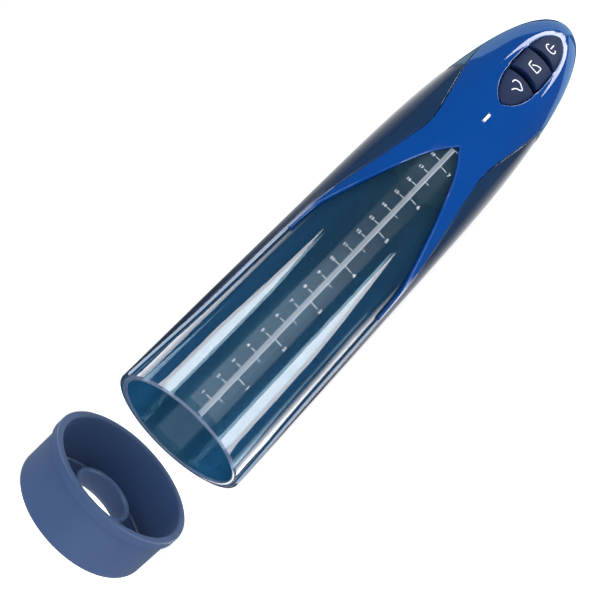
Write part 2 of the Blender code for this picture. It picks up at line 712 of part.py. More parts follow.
def add_magnet(bm, x_span, outer, thickness, middle):
    """One arc-shaped magnet inside the can, 110 degrees wide."""
    steps = 10
    rows = []
    for step in range(steps + 1):
        angle = middle + math.radians(-55 + 110 * step / steps)
        row = []
        for radius in (outer, outer - thickness):
            for x in x_span:
                row.append(bm.verts.new((x, MOTOR_AXIS[0] - radius * math.cos(angle),
                                         MOTOR_AXIS[1] + radius * math.sin(angle))))
        rows.append([row[0], row[1], row[3], row[2]])
    for first, second in zip(rows, rows[1:]):
        for index in range(4):
            after = (index + 1) % 4
            bm.faces.new((first[index], first[after], second[after], second[index]))
    bm.faces.new(rows[0])
    bm.faces.new(list(reversed(rows[-1])))


def make_pump(pump):
    outer = 10.4 * MM
    grey, axis = MATERIALS["pump_grey"], MOTOR_AXIS

    eccentric = bmesh.new()
    hub = [(228.2 * MM, SHAFT_RADIUS + 0.1 * MM), (228.2 * MM, 3.6 * MM), (231.0 * MM, 3.6 * MM),
           (231.0 * MM, SHAFT_RADIUS + 0.1 * MM)]
    add_turned(eccentric, hub, axis)
    wheel = make_object("eccentric_wheel", eccentric, MATERIALS["brass_yellow"], pump,
                        (MOTOR_X[0], *axis))
    pin = bmesh.new()
    add_rod(pin, (226.4 * MM, 229.0 * MM), 0.7 * MM, (axis[0] - 2.1 * MM, axis[1]), 12)
    boolean(wheel, make_cutter("eccentric_pin", pin, pump), "UNION")

    base = [(222.0 * MM, outer - 1.2 * MM), (222.0 * MM, outer), (232.7 * MM, outer), (232.7 * MM, 2.2 * MM),
            (231.5 * MM, 2.2 * MM), (231.5 * MM, outer - 1.2 * MM)]
    turned("pump_base", base, grey, pump, axis, 28)

    frame = [(224.4 * MM, 0), (224.4 * MM, 7.4 * MM), (225.4 * MM, 7.4 * MM), (225.4 * MM, 1.0 * MM),
             (225.9 * MM, 1.0 * MM), (225.9 * MM, 0)]
    turned("swing_frame", frame, MATERIALS["frame_grey"], pump, axis)

    diaphragm = turned("pump_diaphragm", [(220.4 * MM, 0), (220.4 * MM, 10.0 * MM), (221.7 * MM, 10.0 * MM),
                                          (221.7 * MM, 0)], MATERIALS["black_rubber"], pump, axis)
    cups = bmesh.new()
    for step in range(3):
        angle = math.radians(120 * step)
        place = (axis[0] + 4.6 * MM * math.cos(angle), axis[1] + 4.6 * MM * math.sin(angle))
        add_rod(cups, (221 * MM, 224.0 * MM), 2.4 * MM, place, 16)
    boolean(diaphragm, make_cutter("diaphragm_cups", cups, pump), "UNION")

    seat = [(217.6 * MM, 0), (217.6 * MM, outer), (220.1 * MM, outer), (220.1 * MM, 0)]
    turned("pump_valve_seat", seat, grey, pump, axis, 28)

    nipple_start = 209.6 * MM
    head = [(nipple_start, 0.8 * MM), (nipple_start, NIPPLE_RADIUS), (213.6 * MM, NIPPLE_RADIUS),
            (213.6 * MM, outer - 1.5 * MM), (215.0 * MM, outer), (217.3 * MM, outer), (217.3 * MM, 0.8 * MM)]
    turned("pump_head", head, grey, pump, axis, 28)


def make_release_valve(pump):
    start, end = VALVE_X
    bore = 2.3 * MM
    body_profile = [(start, 0), (start, VALVE_RADIUS), (end, VALVE_RADIUS), (end, bore),
                    (start + 3 * MM, bore), (start + 3 * MM, 0)]
    body = turned("release_valve_body", body_profile, MATERIALS["motor_steel"], pump, VALVE_AXIS)
    nipple = bmesh.new()
    add_rod(nipple, (-1 * MM, 3 * MM), NIPPLE_RADIUS, (0, 0), 20)
    hole = bmesh.new()
    add_rod(hole, (-4 * MM, 6 * MM), 0.8 * MM, (0, 0), 16)
    side_port = Matrix.Translation((271 * MM, VALVE_AXIS[0], VALVE_AXIS[1] + VALVE_RADIUS))
    side_port = side_port @ Matrix.Rotation(-math.pi / 2, 4, "Y")
    for piece in (nipple, hole):
        bmesh.ops.transform(piece, matrix=side_port, verts=piece.verts)
    boolean(body, make_cutter("valve_nipple", nipple, pump), "UNION")
    boolean(body, make_cutter("valve_hole", hole, pump), "DIFFERENCE")
    seated = start + 3.5 * MM + VALVE_TRAVEL
    plunger = [(seated, 0), (seated, bore - 0.4 * MM), (end - 0.5 * MM, bore - 0.4 * MM),
               (end - 0.5 * MM, 0)]
    turned("release_valve_plunger", plunger, MATERIALS["screw_steel"], pump, VALVE_AXIS)


def make_hoses(pump):
    bm = bmesh.new()
    straight = [Vector((x * MM, *VACUUM_LINE)) for x in (203.8, 206.4, 209.6, 213.2)]
    add_pipe(bm, straight, HOSE_OUTER, HOSE_INNER)
    make_object("vacuum_hose", bm, MATERIALS["hose_clear"], pump)
    bm = bmesh.new()
    y, z = RELEASE_LINE
    route = smooth_route([(203.8 * MM, y, z), (222 * MM, y, z), (243 * MM, y, z), (261 * MM, y, z),
                          (267.6 * MM, y, z - 0.4 * MM), (270.7 * MM, y, -2.4 * MM),
                          (271 * MM, y, VALVE_AXIS[1] + VALVE_RADIUS + 0.8 * MM)], 3)
    add_pipe(bm, route, HOSE_OUTER, HOSE_INNER, 10)
    make_object("release_hose", bm, MATERIALS["hose_clear"], pump)


# ------------------------------------------------------------------ battery, socket and wires
def make_battery(pump):
    start, end = BATTERY_X
    radius = BATTERY_RADIUS
    profile = [(start, 0), (start, radius - 0.5 * MM), (start + 0.5 * MM, radius), (end - 1.5 * MM, radius),
               (end - 1 * MM, radius - 0.5 * MM), (end - 1 * MM, 2.6 * MM), (end, 2.6 * MM), (end, 0)]
    turned("battery_cell", profile, MATERIALS["battery_blue"], pump, BATTERY_AXIS, 28)


def make_charging_socket(pump):
    """A small round socket behind a hole in the back of the casing."""
    outside = body_radius(SOCKET_X + 4 * MM) - HEAD_SKIN - 3 * GAP
    inside = outside - 8.5 * MM
    bm = bmesh.new()
    profile = [(-inside, 0), (-inside, 3.2 * MM), (-outside, 3.2 * MM), (-outside, 1.7 * MM),
               (-inside - 1.5 * MM, 1.7 * MM), (-inside - 1.5 * MM, 0.5 * MM),
               (-outside + 1 * MM, 0.5 * MM), (-outside + 1 * MM, 0)]
    add_turned(bm, profile, (SOCKET_X, SOCKET_Z), 24)
    turn_to_front(bm)
    make_object("charging_socket", bm, MATERIALS["switch_black"], pump)


def make_leads(pump):
    """Two pairs of wires, from the motor and from the battery, round the chassis to the board."""
    for name, side, start_x, axis in (("motor_lead", -1, 258.6, MOTOR_AXIS),
                                      ("battery_lead", 1, 258.8, BATTERY_AXIS)):
        for index in (0, 1):
            bm = bmesh.new()
            shift = 2.4 * index
            route = smooth_route([
                (start_x * MM, axis[0], axis[1] + side * (1.2 + shift) * MM),
                ((261.5 + shift) * MM, 1 * MM, side * 18.6 * MM),
                ((259 + shift) * MM, -6 * MM, side * 19.4 * MM),
                ((255 + shift) * MM, -12 * MM, side * 18 * MM),
                ((252 + shift) * MM, BOARD_FRONT + 0.8 * MM, side * 13 * MM),
                ((251 + shift) * MM, BOARD_FRONT + 0.8 * MM, side * 9.5 * MM)], 3)
            add_pipe(bm, route, 0.55 * MM, sides=6)
            make_object(f"{name}_{index + 1}", bm, MATERIALS["wire_red"], pump)


# ------------------------------------------------------------------ loose sleeve
SLEEVE_DEPTH = 31.4 * MM
SLEEVE_SKIN = 3.0 * MM
SLEEVE_SIDE = 36.3 * MM           # outer radius behind the lip
SLEEVE_BORE = 34.3 * MM
SLEEVE_CORNER = 4.7 * MM          # rounding between the side and the floor
CUFF_HOLE = 12.9 * MM
CUFF_BELOW_RIM = 13.7 * MM
CUFF_EDGE = 0.5 * MM
FOLD_RADIUS = 14.9 * MM           # the floor curves up into the cuff


def sleeve_profile():
    """Closed outline of the cup: x = 0 at the rim, the floor toward -X."""
    lip_edge = 1.0 * MM
    floor_x = -SLEEVE_DEPTH
    fold = (floor_x + FOLD_RADIUS, CUFF_HOLE + FOLD_RADIUS)
    cuff_radius = CUFF_HOLE + SLEEVE_SKIN
    profile = arc_points((-lip_edge, SLEEVE_LIP_RADIUS - lip_edge), lip_edge, 0, 90, 3)
    profile += [(-4.2 * MM, SLEEVE_LIP_RADIUS), (-5.8 * MM, SLEEVE_SIDE)]
    profile += arc_points((floor_x + SLEEVE_CORNER, SLEEVE_SIDE - SLEEVE_CORNER), SLEEVE_CORNER, 90, 180, 4)
    profile += arc_points(fold, FOLD_RADIUS, 180, 270, 6)
    profile += [(-CUFF_BELOW_RIM - CUFF_EDGE, CUFF_HOLE), (-CUFF_BELOW_RIM, CUFF_HOLE + CUFF_EDGE),
                (-CUFF_BELOW_RIM, cuff_radius - CUFF_EDGE), (-CUFF_BELOW_RIM - CUFF_EDGE, cuff_radius)]
    profile += arc_points(fold, FOLD_RADIUS - SLEEVE_SKIN, 270, 180, 6)
    profile += [(floor_x + SLEEVE_SKIN, SLEEVE_BORE - lip_edge), (floor_x + SLEEVE_SKIN + lip_edge, SLEEVE_BORE)]
    profile += arc_points((-lip_edge, SLEEVE_BORE + lip_edge), lip_edge, 270, 360, 2)
    return profile


def sleeve_pivot_place():
    """The upright line about which the sleeve swings until it faces the mouth."""
    facing = Vector((MOUTH_X - SLEEVE_FACING_GAP, AXIS_Y))
    lying = SLEEVE_RIM.xy
    travel = facing - lying
    left = Vector((-travel.y, travel.x)) / 2
    centre = (facing + lying) / 2 + left / math.tan(SLEEVE_TURN / 2)
    return Vector((centre.x, centre.y, SLEEVE_RIM.z))


def make_sleeve():
    pivot = make_empty("sleeve_pivot", sleeve_pivot_place())
    bm = bmesh.new()
    add_turned(bm, sleeve_profile(), (0, 0), BIG_ROUND)
    sleeve = make_object("entry_sleeve", bm, MATERIALS["silicone_blue"], pivot)
    sleeve.location = SLEEVE_RIM - pivot.location
    sleeve.rotation_euler = (0, 0, -SLEEVE_TURN)


# ------------------------------------------------------------------ assembly
MATERIALS = {}


def make_materials():
    table = {
        "smoke_clear": ((0.03, 0.13, 0.20), 0.05, 0.0, 0.45),
        "smoke_casing": ((0.05, 0.08, 0.16), 0.12),
        "gloss_blue": ((0.0, 0.09, 0.40), 0.12),
        "navy_soft": ((0.025, 0.03, 0.10), 0.5),
        "navy_seal": ((0.01, 0.012, 0.04), 0.6),
        "white_lens": ((0.85, 0.9, 0.95), 0.25),
        "silicone_blue": ((0.045, 0.10, 0.24), 0.55),
        "frame_grey": ((0.30, 0.31, 0.33), 0.5),
        "pump_grey": ((0.55, 0.56, 0.58), 0.45),
        "board_green": ((0.02, 0.16, 0.07), 0.4),
        "switch_black": ((0.02, 0.02, 0.022), 0.5),
        "screw_steel": ((0.6, 0.6, 0.6), 0.3, 1.0),
        "motor_steel": ((0.55, 0.55, 0.55), 0.28, 1.0),
        "magnet_grey": ((0.12, 0.12, 0.13), 0.6),
        "brass_yellow": ((0.65, 0.48, 0.2), 0.3, 1.0),
        "black_rubber": ((0.02, 0.02, 0.02), 0.7),
        "hose_clear": ((0.75, 0.78, 0.8), 0.3),
        "battery_blue": ((0.03, 0.12, 0.3), 0.4),
        "wire_red": ((0.5, 0.02, 0.02), 0.5),
        "guide": ((1.0, 0.5, 0.0), 0.5),
    }
    for name, values in table.items():
        MATERIALS[name] = make_material(name, *values)


def main():
    remove_everything()
    make_materials()
    pump = make_empty("pump_frame", (MOUTH_X, AXIS_Y, AXIS_Z))
    make_cylinder_tube(pump)
    make_front_cover(pump)
    make_rear_casing(pump)
    for name in BUTTONS:
        make_button(name, pump)
    make_button_seal(pump)
    make_switches(pump)
    make_indicator(pump)
    make_control_board(pump)
    make_inner_chassis(pump)
    make_cradle("motor_cradle", pump, (238 * MM, 250 * MM), (-24 * MM, -2.4 * MM),
                MOTOR_AXIS, MOTOR_RADIUS)
    make_cradle("battery_cradle", pump, (214 * MM, 250 * MM), (4.6 * MM, 21.4 * MM),
                BATTERY_AXIS, BATTERY_RADIUS)
    make_tube_end_plate(pump)
    make_motor(pump)
    make_pump(pump)
    make_release_valve(pump)
    make_hoses(pump)
    make_battery(pump)
    make_charging_socket(pump)
    make_leads(pump)
    make_sleeve()
    bpy.context.view_layer.update()


main()
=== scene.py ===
import json
import math

import bmesh
import bpy
from mathutils import Matrix, Vector


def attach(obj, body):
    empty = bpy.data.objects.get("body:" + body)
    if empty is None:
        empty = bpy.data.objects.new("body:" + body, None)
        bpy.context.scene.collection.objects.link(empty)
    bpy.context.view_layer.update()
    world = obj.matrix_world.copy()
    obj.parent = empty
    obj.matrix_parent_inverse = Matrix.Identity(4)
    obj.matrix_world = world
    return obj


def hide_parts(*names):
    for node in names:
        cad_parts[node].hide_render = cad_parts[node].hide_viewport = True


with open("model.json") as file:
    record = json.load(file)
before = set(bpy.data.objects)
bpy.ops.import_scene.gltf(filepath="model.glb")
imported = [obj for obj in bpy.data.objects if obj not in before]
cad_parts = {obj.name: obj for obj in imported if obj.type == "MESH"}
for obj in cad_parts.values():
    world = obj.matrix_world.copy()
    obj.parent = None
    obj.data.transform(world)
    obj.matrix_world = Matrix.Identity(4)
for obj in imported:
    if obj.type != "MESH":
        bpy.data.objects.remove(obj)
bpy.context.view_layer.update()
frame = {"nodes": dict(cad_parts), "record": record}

MM = 0.001

# ---- the pump's outside, as in the CAD
PUMP_LENGTH = 322 * MM
MOUTH_RADIUS = 35.2 * MM
SIDE_TAPER = 0.004
NOSE_START = 150 * MM
NOSE_POWER = 2.7
NOSE_ROOT = 2.25
GAP = 0.3 * MM
TUBE_GAP = 0.45 * MM
ARM_SKIN = 1.2 * MM
HEAD_SKIN = 2.0 * MM
THICKENING = (1 * MM, 4 * MM)     # the skin thickens this far past the cylinder, over this length
TUBE_WALL = 2.7 * MM
TUBE_LENGTH = 200 * MM
TUBE_LIP = 0.8 * MM
MOUTH = Vector((-126.10 * MM, -18.92 * MM, MOUTH_RADIUS))

PARTING_LINE = [(0, 78), (42, 67.4), (100, 63.4), (120, 62.0), (133, 57.4), (146, 51.2), (167, 42.2),
                (184, 36.4), (195, 33.9), (208, 37.0), (221, 43.0), (232, 49.0), (245, 57.0), (257, 64.5),
                (268, 73.5), (279, 90)]
WINDOW_EDGE = [(104, 61.6), (121, 57.8), (130, 50.4), (142.6, 40.4), (163, 26.2), (177, 16.5),
               (186, 8.2), (193, 0)]
ARM_START = 104 * MM
WINDOW_TIP = 193 * MM
WRAP_START = 279 * MM
WRAP_END = 303 * MM
WRAP_POWER = 0.5
CASING_START = 0.4 * MM
CASING_END = 302 * MM

# ---- buttons, recess and indicator
LEAF_START = 230.8 * MM
LEAF_SIDES = (254.0 * MM, 276.2 * MM)
LEAF_END = 300.0 * MM
LEAF_HALF_WIDTH = 9.9 * MM
LEAF_POWER = 0.7
LEAF_CLEARANCE = 0.4 * MM
SCALLOP = 0.75 * MM               # extra room beside the middle button
SCALLOP_SPAN = (255.0 * MM, 276.0 * MM)
RECESS_START = 238 * MM           # the shallow dish round the buttons, deepest at the tip
RECESS_END = 304.5 * MM
RECESS_HALF_WIDTH = 14.0 * MM
RECESS_DEPTH = 1.1 * MM
RECESS_RAMP = 52 * MM             # length over which the dish reaches its full depth
RECESS_END_POWERS = (4, 0.6)      # shape of the dish's round end
RECESS_SLOPE = (0.5, 0.165)       # slope of the dish's edge before and after the span
SLOPE_SPAN = (262 * MM, 300 * MM)
BUTTON_PROUD = 0.5 * MM
BUTTON_DIP = 0.75                 # share of the dish's depth by which the caps dip
BUTTON_TIP = 0.35 * MM            # half-width of a cap at the leaf's tips
BUTTON_OVERHANG = 0.2 * MM
BUTTON_DEPTH = 2.8 * MM
BUTTON_EDGE = 0.7 * MM
BUTTON_CORNER = 1.3 * MM
BUTTONS = {  # start, end, stem, bow of the start edge, bow of the end edge
    "suction_button": (231.2 * MM, 252.9 * MM, 245 * MM, 0.0, 0.9 * MM),
    "release_button": (256.4 * MM, 274.8 * MM, 266 * MM, 1.8 * MM, 0.3 * MM),
    "power_button": (276.8 * MM, 299.6 * MM, 283 * MM, 2.0 * MM, 0.0),
}
STEM_WIDTH = 4 * MM
STEM_END = -19.7 * MM
INDICATOR_X = 217.9 * MM
INDICATOR_SIZE = (6.0 * MM, 1.6 * MM)
INDICATOR_FOOT = -15.9 * MM
INDICATOR_CUT = (-24 * MM, -40 * MM)

# ---- sleeve
SLEEVE_TURN = math.radians(43.3)
SLEEVE_LIP_RADIUS = 37.8 * MM
SLEEVE_RIM = Vector((MOUTH.x - 24.0 * MM, MOUTH.y + 25.9 * MM, SLEEVE_LIP_RADIUS))
SLEEVE_DEPTH = 31.4 * MM
SLEEVE_SKIN = 3.0 * MM
SLEEVE_SIDE = 36.3 * MM           # outer radius behind the lip
SLEEVE_BORE = 34.3 * MM
SLEEVE_CORNER = 4.7 * MM          # rounding between the side and the floor
CUFF_HOLE = 12.9 * MM
CUFF_BELOW_RIM = 13.7 * MM
FOLD_RADIUS = 14.9 * MM           # the floor curves up into the cuff

# ---- camera, fitted in metres and degrees
CAMERA_TURN = math.radians(26.2)
CAMERA_LIFT = math.radians(3.5)
CAMERA_ROLL = math.radians(44.35)
CAMERA_ALONG = -80.2 * MM
CAMERA_DISTANCE = 572.7 * MM
CAMERA_RISE = 4.2 * MM
LENS = 77.13
SENSOR = 36.0


# ---- shape of the outside
def body_radius(x):
    side = MOUTH_RADIUS - SIDE_TAPER * x
    along = max(0.0, (x - NOSE_START) / (PUMP_LENGTH - NOSE_START))
    return side * max(0.0, 1 - along ** NOSE_POWER) ** (1 / NOSE_ROOT)


def body_normal(x):
    """Outward normal of the side, as (x, radius)."""
    step = 0.05 * MM
    before = max(x - step, 0)
    after = min(x + step, PUMP_LENGTH)
    slope = Vector((after - before, body_radius(after) - body_radius(before)))
    return Vector((-slope.y, slope.x)).normalized()


def tube_radius(x):
    return body_radius(x) - ARM_SKIN - TUBE_GAP


def read_curve(points, x):
    """A smooth curve through (mm, degrees) points, in radians."""
    last = len(points) - 1
    x_mm = min(max(x / MM, points[0][0]), points[last][0])
    slopes = []
    for index in range(last + 1):
        low = points[max(index - 1, 0)]
        high = points[min(index + 1, last)]
        slopes.append((high[1] - low[1]) / (high[0] - low[0]))
    index = next(index for index in range(last) if x_mm <= points[index + 1][0])
    (x0, y0), (x1, y1) = points[index], points[index + 1]
    width = x1 - x0
    t = (x_mm - x0) / width
    return math.radians((1 + 2 * t) * (1 - t) ** 2 * y0 + t * (1 - t) ** 2 * width * slopes[index]
                        + t * t * (3 - 2 * t) * y1 + t * t * (t - 1) * width * slopes[index + 1])


def parting_angle(x):
    if x <= WRAP_START:
        return read_curve(PARTING_LINE, x)
    left = max(0.0, (WRAP_END - x) / (WRAP_END - WRAP_START))
    return math.radians(180 - 90 * left ** WRAP_POWER)


def casing_angle(x):
    gap_angle = 1.3 * GAP / max(body_radius(x), 10 * MM)
    return min(math.pi, parting_angle(x + GAP) + gap_angle)


def smooth_step(value):
    value = min(1.0, max(0.0, value))
    return value * value * (3 - 2 * value)


def skin_thickness(x):
    past = x - TUBE_LENGTH - THICKENING[0]
    return ARM_SKIN + (HEAD_SKIN - ARM_SKIN) * smooth_step(past / THICKENING[1])


def leaf_half_width(x, inset):
    width = LEAF_HALF_WIDTH - inset
    low = (LEAF_SIDES[0] - x) / (LEAF_SIDES[0] - LEAF_START - inset)
    high = (x - LEAF_SIDES[1]) / (LEAF_END - inset - LEAF_SIDES[1])
    along = max(0.0, low, high)
    return max(0.0, width * max(0.0, 1 - along * along) ** LEAF_POWER)


def opening_half_width(x):
    """Half-width of the opening for the buttons, wider beside the middle one."""
    middle = (SCALLOP_SPAN[0] + SCALLOP_SPAN[1]) / 2
    across = abs(x - middle) / (middle - SCALLOP_SPAN[0])
    return leaf_half_width(x, 0) + SCALLOP * max(0.0, 1 - across ** 6)


def angle_of(z, x):
    return math.asin(min(1.0, z / max(body_radius(x), 1 * MM)))


def opening_angle(x):
    """Half-angle where the cover starts: the window, the leaf-shaped opening, or the middle line."""
    if x < WINDOW_TIP:
        return read_curve(WINDOW_EDGE, x)
    if LEAF_START < x < LEAF_END:
        return angle_of(opening_half_width(x), x)
    return 0.0


def recess_half_width(x):
    along = max(0.0, (x - RECESS_START) / (RECESS_END - RECESS_START))
    inner, outer = RECESS_END_POWERS
    return RECESS_HALF_WIDTH * max(0.0, 1 - along ** inner) ** outer


def recess_deepest(x):
    return RECESS_DEPTH * smooth_step((x - RECESS_START) / RECESS_RAMP)


def bevel_width(x):
    """Width of the dish's sloping edge."""
    share = smooth_step((x - SLOPE_SPAN[0]) / (SLOPE_SPAN[1] - SLOPE_SPAN[0]))
    slope = RECESS_SLOPE[0] + (RECESS_SLOPE[1] - RECESS_SLOPE[0]) * share
    return max(0.1 * MM, recess_deepest(x) / slope)


def recess_depth(x, z):
    """How far the cover dips at (x, z) inside the dish round the buttons."""
    inside = min(1.0, max(0.0, (recess_half_width(x) - abs(z)) / bevel_width(x)))
    return recess_deepest(x) * (0.7 * inside + 0.3 * smooth_step(inside))


def front_surface(x, z, raised=0.0):
    radius = body_radius(x) + raised
    return -math.sqrt(max(radius * radius - z * z, 0.0))


def rounding(distance, radius):
    """How far a rounded edge of that radius has fallen at a distance inside the edge."""
    lack = min(radius, max(0.0, radius - max(distance, 0.0)))
    return radius - math.sqrt(max(radius * radius - lack * lack, 0.0))


def spread(start, end, count):
    return [start + (end - start) * step / count for step in range(count + 1)]


def closing(start, end, count):
    """Places that close up toward both ends."""
    return [start + (end - start) * (1 - math.cos(math.pi * step / count)) / 2
            for step in range(count + 1)]


# ---- mesh helpers
def to_object(name, bm, materials, turn=None, place=MOUTH, sharp=35):
    """An object from a bmesh drawn in the pump's frame, or in the frame of turn and place."""
    bmesh.ops.remove_doubles(bm, verts=bm.verts, dist=0.0005 * MM)
    bmesh.ops.dissolve_degenerate(bm, edges=bm.edges, dist=0.0002 * MM)
    bmesh.ops.recalc_face_normals(bm, faces=bm.faces)
    if turn is not None:
        bmesh.ops.transform(bm, matrix=turn, verts=bm.verts)
    bmesh.ops.translate(bm, verts=bm.verts, vec=place)
    mesh = bpy.data.meshes.new(name)
    bm.to_mesh(mesh)
    bm.free()
    for material in materials:
        mesh.materials.append(material)
    mesh.shade_smooth()
    mesh.set_sharp_from_angle(angle=math.radians(sharp))
    thing = bpy.data.objects.new(name, mesh)
    bpy.context.scene.collection.objects.link(thing)
    return thing


def evaluated_mesh(thing):
    bpy.context.view_layer.update()
    return bpy.data.meshes.new_from_object(thing.evaluated_get(bpy.context.evaluated_depsgraph_get()))


def finish_piece(thing, body, slot, *nodes):
    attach(thing, body)
    if nodes:
        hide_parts(*nodes)
    return thing


def join_rows(bm, first, second, closed=False):
    count = len(first) if closed else len(first) - 1
    for index in range(count):
        after = (index + 1) % len(first)
        corners = [first[index], first[after], second[after], second[index]]
        if len(set(corners)) == 4:
            bm.faces.new(corners)


def add_stack(bm, rings):
    """A closed body through rings of the same number of corners."""
    for first, second in zip(rings, rings[1:]):
        join_rows(bm, first, second, closed=True)
    bm.faces.new(rings[0])
    bm.faces.new(list(reversed(rings[-1])))


def add_turned(bm, profile, sides):
    """Turn a closed (x, radius) outline about the X axis."""
    rings = []
    for step in range(sides):
        angle = 2 * math.pi * step / sides
        rings.append([bm.verts.new((x, -radius * math.cos(angle), radius * math.sin(angle)))
                      for x, radius in profile])
    for step in range(sides):
        join_rows(bm, rings[step], rings[(step + 1) % sides], closed=True)


def arc_points(centre, radius, start, end, count):
    points = []
    for step in range(count + 1):
        angle = math.radians(start + (end - start) * step / count)
        points.append((centre[0] + radius * math.cos(angle), centre[1] + radius * math.sin(angle)))
    return points


def add_shell(bm, rows):
    """A closed shell from rows of (outer, inner, is_open_at_start, is_open_at_end) columns."""
    grid = []
    for outer, inner, _, _ in rows:
        grid.append(([bm.verts.new(point) for point in outer], [bm.verts.new(point) for point in inner]))
    for index in range(len(rows) - 1):
        for layer in (0, 1):
            join_rows(bm, grid[index][layer], grid[index + 1][layer])
        for side, column in ((2, 0), (3, -1)):
            if rows[index][side] or rows[index + 1][side]:
                bm.faces.new((grid[index][0][column], grid[index][1][column],
                              grid[index + 1][1][column], grid[index + 1][0][column]))
    for ends in (grid[0], grid[-1]):
        if (ends[0][0].co.yz - ends[0][-1].co.yz).length > 0.01 * MM:
            join_rows(bm, ends[0], ends[1])


def skin_point(x, angle, inset):
    """The point under the outside surface by inset, at x and an angle from the front."""
    normal = body_normal(x)
    ring = max(0.0, body_radius(x) - inset * normal.y)
    return (x - inset * normal.x, -ring * math.cos(angle), ring * math.sin(angle))


# ---- shells
EDGE_STEPS = [0.0, 0.06, 0.16, 0.3, 0.5, 0.8, 1.2]       # millimetres from a rounded edge
EDGE_RADIUS = 0.5 * MM
CASING_EDGE_RADIUS = 0.3 * MM
BRIGHT_EDGE_END = 135 * MM        # up to here the casing's edge is painted pale, a painted highlight where it catches the light


def cover_columns(x, start, end):
    """Angles across one half of the cover, closer together at its edges and along the dish."""
    radius = max(body_radius(x), 2 * MM)
    room = end - start
    scale = min(1.0, room * radius / (6 * MM))
    steps = [step * MM * scale / radius for step in EDGE_STEPS]
    crease = angle_of(recess_half_width(x), x)
    first = start + steps[-1]
    last = end - steps[-1]
    crease = min(max(crease, first + 0.2 * (last - first)), first + 0.7 * (last - first))
    angles = [start + step for step in steps]
    angles += spread(first, crease, 12)[1:]
    angles += [crease + (last - crease) * (step / 24) ** 1.7 for step in range(1, 25)]
    angles += [end - step for step in reversed(steps[:-1])]
    return angles, scale


def cover_row(x, mirror):
    start = opening_angle(x)
    end = parting_angle(x)
    angles, scale = cover_columns(x, start, end)
    radius = body_radius(x)
    edge = EDGE_RADIUS * scale
    outer, inner = [], []
    for angle in angles:
        drop = recess_depth(x, radius * math.sin(angle))
        if start > 0:
            drop += rounding((angle - start) * radius, edge)
        if end < math.pi - 1e-6:
            drop += rounding((end - angle) * radius, edge)
        outer.append(skin_point(x, mirror * angle, drop))
        inner.append(skin_point(x, mirror * angle, skin_thickness(x)))
    return outer, inner, start > 0, end < math.pi - 1e-6


def cover_stations():
    stations = spread(ARM_START, 180 * MM, 54)[:-1] + closing(180 * MM, WINDOW_TIP, 16)[:-1]
    stations += spread(WINDOW_TIP, LEAF_START, 20)[:-1]
    stations += closing(LEAF_START, LEAF_END, 78)[:-1]
    stations += closing(LEAF_END, RECESS_END, 8)[:-1]
    reach = PUMP_LENGTH - RECESS_END
    stations += [RECESS_END + reach * math.sin(math.pi / 2 * step / 20) for step in range(21)]
    return stations


def indicator_cutter():
    bm = bmesh.new()
    half_length = INDICATOR_SIZE[0] / 2 + GAP
    half_width = INDICATOR_SIZE[1] / 2 + GAP
    outline = slot_outline(half_length, half_width, 8)
    add_stack(bm, [[bm.verts.new((INDICATOR_X + x, y, z)) for x, z in outline] for y in INDICATOR_CUT])
    return to_object("indicator_cutter", bm, [])


def slot_outline(half_length, half_width, steps):
    """A slot with round ends."""
    points = []
    for side in (1, -1):
        for step in range(steps + 1):
            angle = math.pi * (step / steps - 0.5) + (0 if side > 0 else math.pi)
            points.append((side * (half_length - half_width) + half_width * math.cos(angle),
                           half_width * math.sin(angle)))
    return points


def make_cover(material):
    bm = bmesh.new()
    for mirror in (1, -1):
        add_shell(bm, [cover_row(x, mirror) for x in cover_stations()])
    cover = to_object("cover_shell", bm, [material], sharp=28)
    cutter = indicator_cutter()
    hole = cover.modifiers.new("indicator slot", "BOOLEAN")
    hole.object = cutter
    hole.solver = "EXACT"
    carved = evaluated_mesh(cover)
    cover.modifiers.clear()
    cover.data = carved
    bpy.data.objects.remove(cutter, do_unlink=True)
    return finish_piece(cover, "pump", "gloss_blue", "front_cover")


def casing_row(x, mirror):
    start = casing_angle(x)
    radius = body_radius(x)
    steps = [step * MM / radius for step in EDGE_STEPS]
    room = (math.pi - start) * radius
    scale = min(1.0, room / (6 * MM))
    angles = [start + step * scale for step in steps]
    angles += spread(start + steps[-1] * scale, math.pi, 30)[1:]
    outer, inner = [], []
    for angle in angles:
        drop = rounding((angle - start) * radius, CASING_EDGE_RADIUS * scale)
        drop = max(drop, rounding(x - CASING_START, EDGE_RADIUS))
        outer.append(skin_point(x, mirror * angle, drop))
        inner.append(skin_point(x, mirror * angle, skin_thickness(x)))
    return outer, inner, True, False


def casing_stations():
    stations = [CASING_START + step * MM for step in EDGE_STEPS]
    stations += spread(3 * MM, 100 * MM, 32)
    stations += spread(102 * MM, WRAP_START, 80)
    reach = CASING_END - WRAP_START
    stations += [CASING_END - reach * (1 - step / 20) ** 1.5 for step in range(1, 21)]
    return stations


def is_window_edge(face):
    """Is this face part of the casing's front edge along the clear cylinder?"""
    middle = face.center - MOUTH
    outward = middle.yz.normalized()
    sideways = abs(face.normal.yz.dot(outward)) < 0.6 and abs(face.normal.x) < 0.5
    return sideways and face.normal.y < 0 and middle.x < BRIGHT_EDGE_END


def make_casing(material, lining, edge):
    bm = bmesh.new()
    for mirror in (1, -1):
        add_shell(bm, [casing_row(x, mirror) for x in casing_stations()])
    casing = to_object("casing_shell", bm, [material, lining, edge])
    for face in casing.data.polygons:
        middle = face.center - MOUTH
        # the front edge near the mouth takes the pale painted highlight
        if is_window_edge(face):
            face.material_index = 2
        elif middle.yz.dot(face.normal.yz) < 0 and middle.x < TUBE_LENGTH:
            face.material_index = 1
    return finish_piece(casing, "pump", "smoke_casing", "rear_casing")


